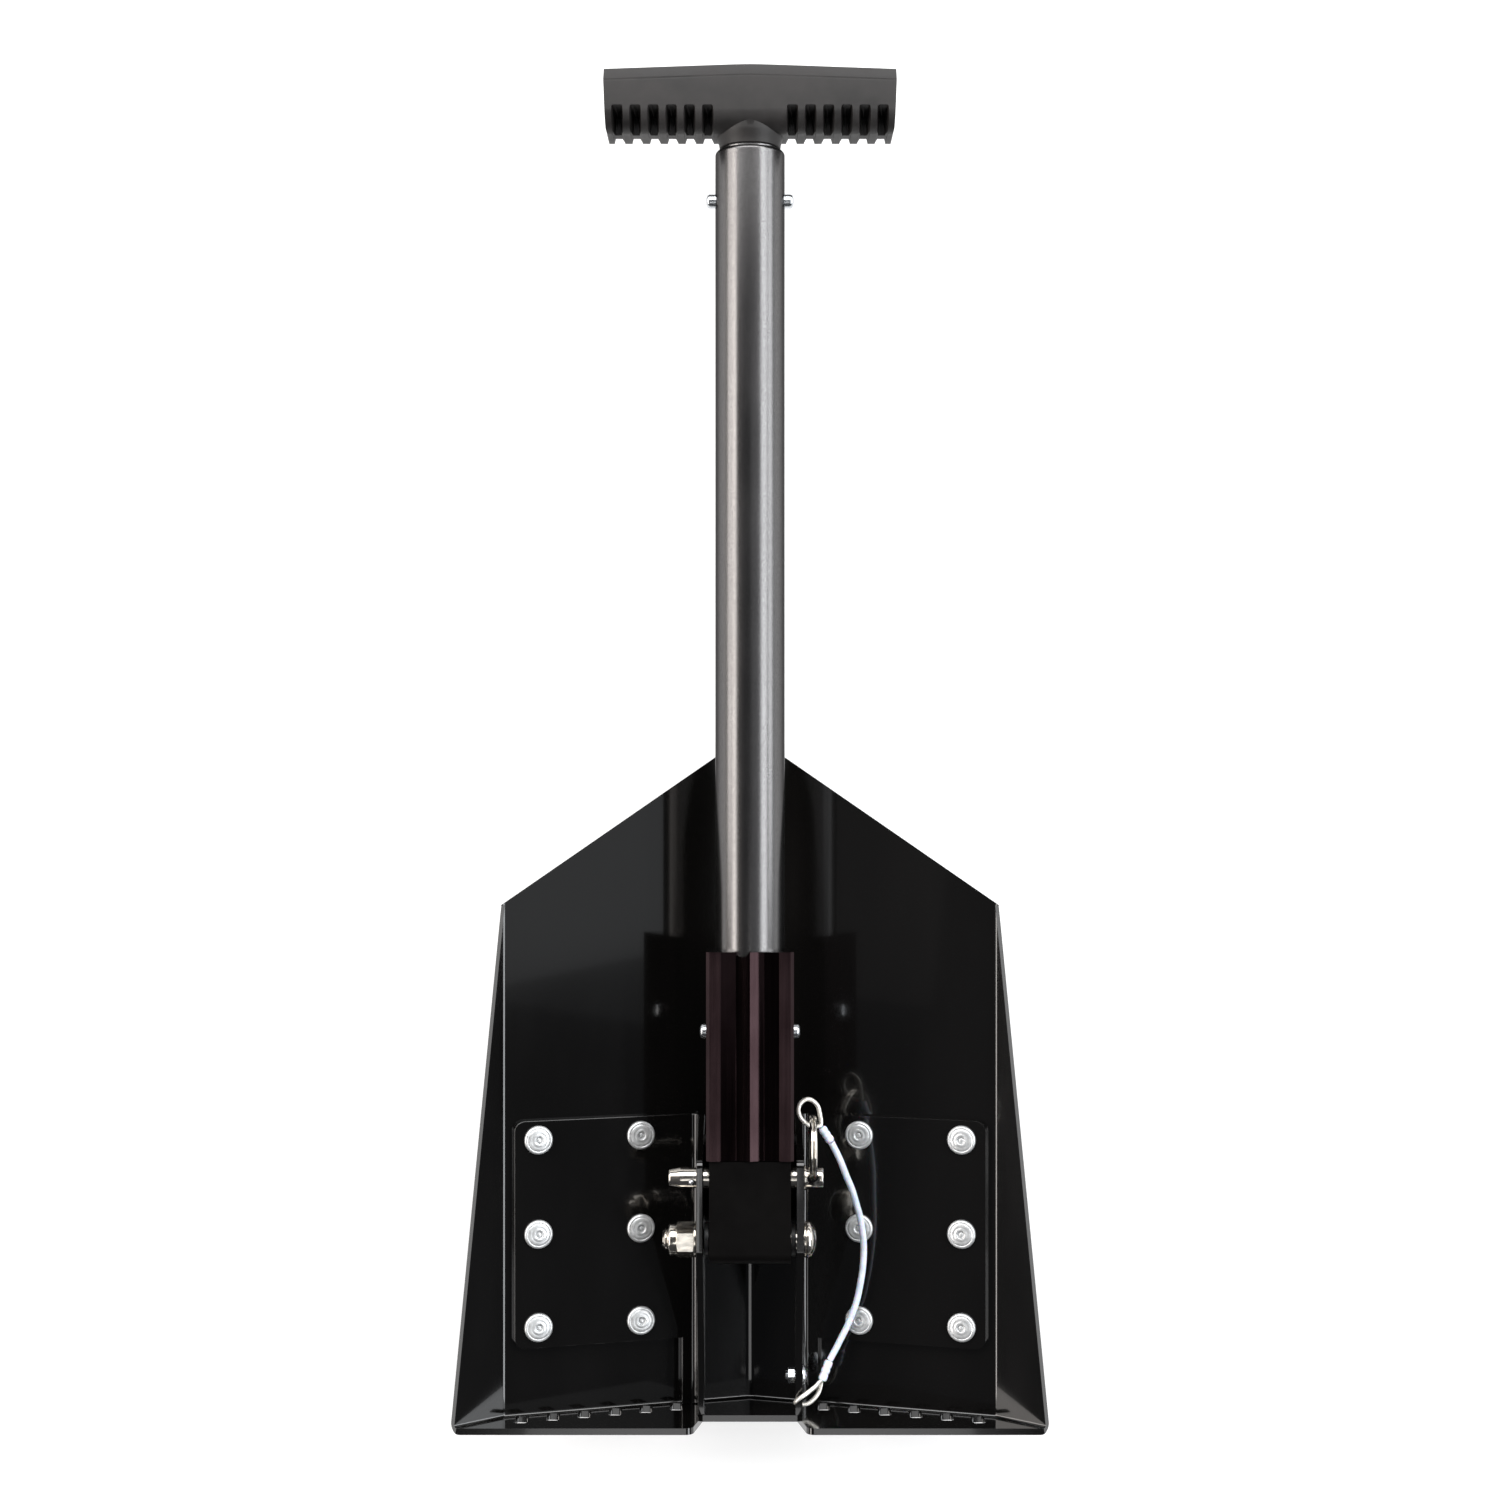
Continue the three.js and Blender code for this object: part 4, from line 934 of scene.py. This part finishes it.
def lock_pin():
    """A pin with a tapered nose, a raised band beside the ear and a cross hole for the ring."""
    pin = Box("lock_pin")
    centre = (0, pin_y, 0)
    ear = bracket_box.x0 + PLATE
    band, nose = SHANK_R + 0.9, pin.x0
    profile = [
        (0, nose), (3.1, nose), (3.6, nose + 0.35), (3.85, nose + 0.9), (SHANK_R - 0.1, nose + 5),
        (SHANK_R, nose + 5.6), (SHANK_R, ear + 0.2), (band - 0.1, ear + 0.2), (band, ear + 0.4),
        (band, ear + 0.9), (band - 0.1, ear + 1.1), (SHANK_R, ear + 1.1),
        (SHANK_R, pin.x1 - 0.9), (SHANK_R - 0.25, pin.x1 - 0.35), (SHANK_R - 0.8, pin.x1), (0, pin.x1),
    ]
    obj = build("pin", lathe(profile, ALONG_X, centre, 72))
    ring_x = JOINTS["ring_swing"]["pos_m"][0] / MM
    carve(obj, cylinder(2.9, -20, 20, ALONG_Z, (ring_x, pin_y, 0), 40))
    ball = Box("detent_ball")
    lean = Vector((0, ball.y - pin_y, ball.z)).normalized()
    carve(obj, cylinder(1.7, -2.5, 12, lean, (ball.x, pin_y, 0), 32))
    soften(obj, 0.2, 2)
    dress(obj, "nickel", "lock_pin", "lock_pin")
    ball_r = (ball.x1 - ball.x0) / 2
    half_round = arc((0, 0), (ball_r, ball_r), -math.pi / 2, math.pi / 2, 16)[1:-1]
    profile = [(0, -ball_r), *half_round, (0, ball_r)]
    turned_piece("ball", "steel", "detent_ball", "detent_ball", profile, lean, (ball.x, ball.y, ball.z), 32)


def pull_ring():
    """A split ring: two turns of flat wire side by side, joined by a short step."""
    ring = Box("pull_ring")
    wire_size = (ring.x1 - ring.x0) / 2
    radius = (ring.y1 - ring.y0) / 2 - wire_size / 2
    first, step_length = math.radians(200), math.radians(28)
    steps = 192
    line = []
    for i in range(steps + 1):
        turn = 4 * math.pi * i / steps
        across = min(max((turn - 2 * math.pi) / step_length + 0.5, 0), 1)
        across = across * across * (3 - 2 * across)
        angle = first + turn
        beside = ring.x + (across - 0.5) * wire_size
        line.append(Vector((beside, ring.y + radius * math.cos(angle), ring.z + radius * math.sin(angle))))
    half = wire_size / 2 - 0.03  # leaves a hairline gap between the turns
    section = rectangle(-half, -half, half, half, 0.45, 3)
    obj = smoothed(build("split_ring", sweep(line, [(p.x, p.y) for p in section])), 50)
    dress(obj, "nickel", "pull_ring", "pull_ring")


lock_pin()
pull_ring()


# ---- sleeve, pivot block, cross pin

sleeve_box = Box("sleeve")
tube_box = Box("main_tube")
TUBE_R = (tube_box.x1 - tube_box.x0) / 2
BUTTON_HOLE_R = 3.55
CROSS_HOLE_R = 2.8


def sleeve():
    """An extrusion with a ridge between two shallow hollows, and flat lands outside them."""
    x1, z1 = sleeve_box.x1, sleeve_box.z1
    flank_x, hollow_x, groove_x = 3.6, 6.5, 13.1
    flank, foot, rise = math.tan(math.radians(18.8)), 0.105, 0.125  # slopes down, down and up again
    steps = 6
    stride = (hollow_x - flank_x) / steps
    right = [(0, z1), (flank_x, z1 - flank * flank_x)]
    for i in range(steps):
        slope = flank + (foot - flank) * (i + 0.5) / steps
        right.append((right[-1][0] + stride, right[-1][1] - slope * stride))
    right.append((groove_x, right[-1][1] + rise * (groove_x - hollow_x)))
    land = z1 - 0.1
    right += [(groove_x + 0.35, land), (x1 - 1.5, land), (x1, land - 1.6), (x1, -z1 + 4.5), (x1 - 4.5, -z1)]
    left = [(-x, z) for x, z in right[1:]][::-1]
    obj = build("sleeve_extrusion", prism(right + left, "xz", sleeve_box.y0, sleeve_box.y1))
    cross, button = Box("cross_pin"), Box("lower_button_right")
    carve(obj, cylinder(TUBE_R + 0.3, -400, 400, ALONG_Y, sides=96))
    carve(obj, cylinder(3.5, 0, 40, ALONG_Z, (-3.6, sleeve_box.y1 + 1.2, 0)))
    carve(obj, combined(cross_hole(CROSS_HOLE_R, cross.y, cross.z),
                        cross_hole(BUTTON_HOLE_R, button.y, button.z)))
    soften(obj, 0.3, 2, limit=30, smooth=20)
    dress(obj, "anodised_sleeve", "shaft", "sleeve")


def pivot_block():
    """The block on the bolt, with a plug up into the sleeve and an arc slot that clears the ball."""
    block, cross = Box("pivot_block"), Box("cross_pin")
    top = sleeve_box.y0 - 0.4
    outline = [(block.y0, block.z0), (top, block.z0), (top, block.z1), (block.y0, block.z1)]
    obj = build("block", prism(rounded(outline, {0: 5, 3: 5}, 10), "yz", block.x0, block.x1))
    carve(obj, cylinder(TUBE_R, top - 1, block.y1, ALONG_Y, sides=96), "UNION")
    reach, half, swing = pin_y - pivot_y, 6, math.radians(62)
    pivot, close, far = (pivot_y, 0), reach - half, reach + half
    slot = arc((pin_y, 0), (half, half), 0, math.pi, 16)
    slot += arc(pivot, (close, close), 0, -swing, 16)[1:]
    slot += arc(pivot, (far, far), -swing, 0, 16)
    carve(obj, combined(cross_hole(HINGE_HOLE_R, pivot_y), cross_hole(CROSS_HOLE_R, cross.y, cross.z)))
    carve(obj, prism(slot, "yz", -40, 40))
    soften(obj, 0.9, 4)
    dress(obj, "matte_black", "shaft", "pivot_block")


def cross_pin():
    pin = Box("cross_pin")
    radius = (pin.z1 - pin.z0) / 2
    profile = [(0, pin.x0), (radius - 0.7, pin.x0), (radius - 0.2, pin.x0 + 0.25), (radius, pin.x0 + 0.8),
               (radius, pin.x1 - 0.8), (radius - 0.2, pin.x1 - 0.25), (radius - 0.7, pin.x1), (0, pin.x1)]
    turned_piece("cross_pin_turned", "matte_black", "shaft", "cross_pin", profile, ALONG_X,
                 (0, pin.y, pin.z), 40)


sleeve()
pivot_block()
cross_pin()


# ---- tubes, buttons, springs


def tubes():
    """The main tube, with rounded rims, and the tube that slides in it."""
    top, low, hidden = [Box(f"{pair}_button_right") for pair in ("top", "lower", "hidden")]
    bore, inner_bore = 14.25, 12.3
    y0, y1 = tube_box.y0, tube_box.y1
    profile = [
        (bore, y0 + 0.3), (bore + 0.3, y0), (TUBE_R - 0.3, y0), (TUBE_R, y0 + 0.3), (TUBE_R, y1 - 1.6),
        (TUBE_R - 0.25, y1 - 0.8), (TUBE_R - 0.8, y1 - 0.15), (TUBE_R - 1.1, y1), (bore + 0.2, y1),
        (bore, y1 - 0.2),
    ]
    obj = build("outer_tube", lathe(profile, ALONG_Y, sides=128))
    carve(obj, combined(*[cross_hole(BUTTON_HOLE_R, b.y, b.z) for b in (top, low)]))
    soften(obj, 0.2, 2)
    dress(obj, "satin_tube", "shaft", "main_tube")
    inner, pin = Box("inner_tube"), Box("grip_pin")
    radius = (inner.x1 - inner.x0) / 2
    shape = pipe(radius, inner_bore, inner.y0, inner.y1, ALONG_Y, 0.3, sides=96)
    obj = build("telescoping_tube", shape)
    carve(obj, combined(*[cross_hole(BUTTON_HOLE_R, b.y, b.z) for b in (top, hidden)],
                        cylinder(1.6, -40, 40, ALONG_Z, (0, pin.y, 0), 24)))
    soften(obj, 0.2, 2)
    dress(obj, "satin_tube", "handle", "inner_tube")


def buttons():
    """Snap buttons: a shouldered stud with a round nose."""
    nose, deep = 0.9, 1.5
    for pair in ("top", "hidden", "lower"):
        for name, side in SIDES.items():
            node = f"{pair}_button_{name}"
            box = Box(node)
            radius = (box.z1 - box.z0) / 2
            base, tip = (box.x0, box.x1) if side > 0 else (-box.x1, -box.x0)
            start = tip - deep - 0.4
            profile = [(0, base), (radius, base), (radius, start)]
            profile += arc((radius - nose, start), (nose, deep), 0, math.pi / 2, 8)[1:]
            profile += [(radius * 0.45, tip - 0.08), (0, tip)]
            turned_piece(f"{pair}_{name}_stud", "steel", node, node, profile, (side, 0, 0),
                         (0, box.y, box.z), 40)


def cad_copy(node, name):
    """A new piece with the shape of a CAD node, whose faces are joined at their corners."""
    mesh = frame["nodes"][node].data
    lift = Vector((0, 0, AXIS_HEIGHT))
    points = [(v.co - lift) / MM for v in mesh.vertices]
    obj = build(name, (points, [list(face.vertices) for face in mesh.polygons]))
    bm = bmesh.new()
    bm.from_mesh(obj.data)
    bmesh.ops.remove_doubles(bm, verts=bm.verts, dist=0.01 * MM)
    bmesh.ops.recalc_face_normals(bm, faces=bm.faces)
    bm.to_mesh(obj.data)
    bm.free()
    return obj


def spring_half(pair, side):
    """Half of a pair's flat spring, cut at the fold."""
    node, sign = f"{pair}_spring", SIDES[side]
    box = Box(node)
    obj = cad_copy(node, f"{pair}_{side}_spring")
    fold, outside = 0.01 * sign, 2 * box.x1 * sign
    half = [(fold, box.y0 - 5), (outside, box.y0 - 5), (outside, box.y1 + 5), (fold, box.y1 + 5)]
    carve(obj, prism(half, "xy", -40, 40), "INTERSECT")
    soften(obj, 0)
    dress(obj, "spring_steel", None, node)
    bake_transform(obj)


def springs():
    for pair, body in (("top", "handle"), ("hidden", "handle"), ("lower", "shaft")):
        for side in SIDES:
            spring_half(pair, side)
    coil = cad_copy("detent_spring", "ball_spring")
    soften(coil, 0)
    dress(coil, "spring_steel", None, "detent_spring")
    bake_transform(coil)
    dress(frame["nodes"]["grip_pin"], "steel", None)


tubes()
buttons()
springs()


# ---- T-grip


GRIP_END = 279.2  # the fins' lower ends
SLOT_TOP = 291


def grip_pocket(x, face):
    """A pocket between two fins: wide at the face, and narrowing to the web, most of all at its top."""
    deep, web, wide = 22, 3, 3.05
    start, point = GRIP_END - 12, SLOT_TOP - 3.2
    mouth = rectangle(x - wide, start, x + wide, SLOT_TOP + 0.2, 1.4)
    bottom = [(x - 2.5, start), (x + 2.5, start), (x + 0.9, point), (x - 0.9, point)]
    return hull([(p[0], p[1], face * deep) for p in mouth] + [(a, b, face * web) for a, b in bottom])


def grip():
    """A bar that falls away to both ends, with fins on its underside and a flared neck."""
    box = Box("t_grip")
    top, depth, half = box.y1 - 1.7, box.z1, box.x1
    drop, crest = 2.4, 6  # how far the top falls, and half the width that it is rounded over
    flat, belly_r = 8, 9.5
    section = rounded([
        (top, -flat), (top, flat), (top - 6.8, depth - 0.9), (top - 8.4, depth), (GRIP_END, depth),
        (GRIP_END, -depth), (top - 8.4, -depth), (top - 6.8, 0.9 - depth),
    ], {0: 2.5, 1: 2.5, 4: belly_r, 5: belly_r}, 10)
    rings = []
    for x in (-half, *range(-12, 13, 4), half):
        fall = drop * (math.hypot(x, crest) - crest) / half
        rings.append([(x, y - (fall if y > top - 9 else 0), z) for y, z in section])
    obj = build("handle_grip", skin(rings))
    ends, upper, lower = 1.4, top + 5 - drop, GRIP_END - 1
    plan = [(-half, upper), (ends - half, lower), (half - ends, lower), (half, upper)]
    carve(obj, prism(rounded(plan, {1: 3, 2: 3}, 8), "xy", -60, 60), "INTERSECT")
    collar, neck_top = 274.4, 292
    neck = [
        (0, box.y0), (11.6, box.y0), (12, box.y0 + 0.4), (12, collar), (13.7, collar), (13.95, collar + 0.3),
        (14.15, collar + 1.8), (14.7, collar + 3.6), (15.4, collar + 5.2), (15.6, collar + 6.6),
        (15.6, neck_top), (0, neck_top),
    ]
    carve(obj, lathe(neck, ALONG_Y, sides=96), "UNION")
    gap = 2.5
    pockets, gaps = [], []
    for x in row(first=19.1, pitch=8.16, count=6):
        pockets += [grip_pocket(x, face) for face in (-1, 1)]
        gaps.append(prism(rectangle(x - gap, GRIP_END - 4, x + gap, GRIP_END + 0.8, 0.6, 3), "xy", -40, 40))
    carve(obj, combined(*pockets))
    carve(obj, combined(*gaps))
    carve(obj, cylinder(1.65, -40, 40, ALONG_Z, (0, Box("grip_pin").y, 0), 24))
    soften(obj, 0.5, 3, limit=32)
    dress(obj, "grip_plastic", "handle", "t_grip")


grip()


# ---- floor and light


def floor():
    size = 4
    mesh = bpy.data.meshes.new("floor")
    corners = [(-size, -size, 0), (size, -size, 0), (size, size, 0), (-size, size, 0)]
    mesh.from_pydata(corners, [], [(0, 1, 2, 3)])
    obj = bpy.data.objects.new("floor", mesh)
    scene.collection.objects.link(obj)
    paper = Finish("paper")
    paper.even({"Roughness": 0.9, "Specular IOR Level": 0.1, "Emission Strength": 0.6,
                "Emission Color": (1, 1, 1, 1)})
    paper.colour(paper.noise(3, 2), (0.42, 0.42, 0.42), (0.45, 0.45, 0.45))
    mesh.materials.append(paper.material)


def softbox(name, direction, distance, width, height, power, colour=(1, 1, 1)):
    """A rectangular soft light that faces the object. direction points from the object to the light."""
    data = bpy.data.lights.new(name, "AREA")
    data.shape = "RECTANGLE"
    data.size, data.size_y = width, height
    data.energy = power
    data.color = colour
    obj = bpy.data.objects.new(name, data)
    towards = Vector(direction).normalized()
    obj.location = Vector((0, 0, AXIS_HEIGHT)) + towards * distance
    obj.rotation_mode = "QUATERNION"
    obj.rotation_quaternion = towards.to_track_quat("Z", "Y")
    scene.collection.objects.link(obj)


def tilted(side, degrees, lean=0.0):
    """A direction that many degrees off the vertical, to one side, leaning along the shaft."""
    angle = math.radians(degrees)
    return (side * math.sin(angle), lean, math.cos(angle))


floor()
WARM, COOL = (1.0, 0.95, 0.91), (0.95, 0.975, 1.0)
# name, direction, distance, width and height in metres, power in watts, colour
softbox("left_box", tilted(-1, 53), 1.5, 1.9, 0.4, 18, WARM)
softbox("left_low", tilted(-1, 86), 1.5, 1.9, 0.31, 2, WARM)
softbox("left_front", tilted(-1, 70, 0.19), 1.5, 0.92, 0.42, 7, WARM)
softbox("left_fill", tilted(-1, 29, 0.065), 1.6, 0.8, 0.28, 0.05, WARM)
softbox("right_box", tilted(1, 47), 1.5, 1.9, 0.58, 22, COOL)
softbox("right_low", tilted(1, 86), 1.5, 1.9, 0.31, 2, COOL)
softbox("right_front", tilted(1, 70, 0.19), 1.5, 0.92, 0.42, 7, COOL)
softbox("right_fill", tilted(1, 19, 0.065), 1.6, 0.8, 0.86, 0.8, COOL)
softbox("blade_fill", tilted(1, 28, -0.09), 1.6, 0.35, 0.34, 0.04, COOL)
softbox("top_box", (0, 0.8, 0.75), 1.6, 2.6, 1.1, 50)
softbox("sleeve_card", (0, -0.22, 1), 1.7, 0.11, 0.3, 0.21)
softbox("nut_card", (-0.058, -0.33, 1), 1.7, 0.05, 0.16, 0.08)
softbox("rear_card", (0, -0.47, 1), 1.7, 0.5, 0.3, 0.9)

world = bpy.data.worlds.new("studio")
world.use_nodes = True
sky = world.node_tree.nodes["Background"].inputs
sky["Color"].default_value = (0.9, 0.93, 1.0, 1)
sky["Strength"].default_value = 0.06
scene.world = world
scene.view_settings.view_transform = "Standard"
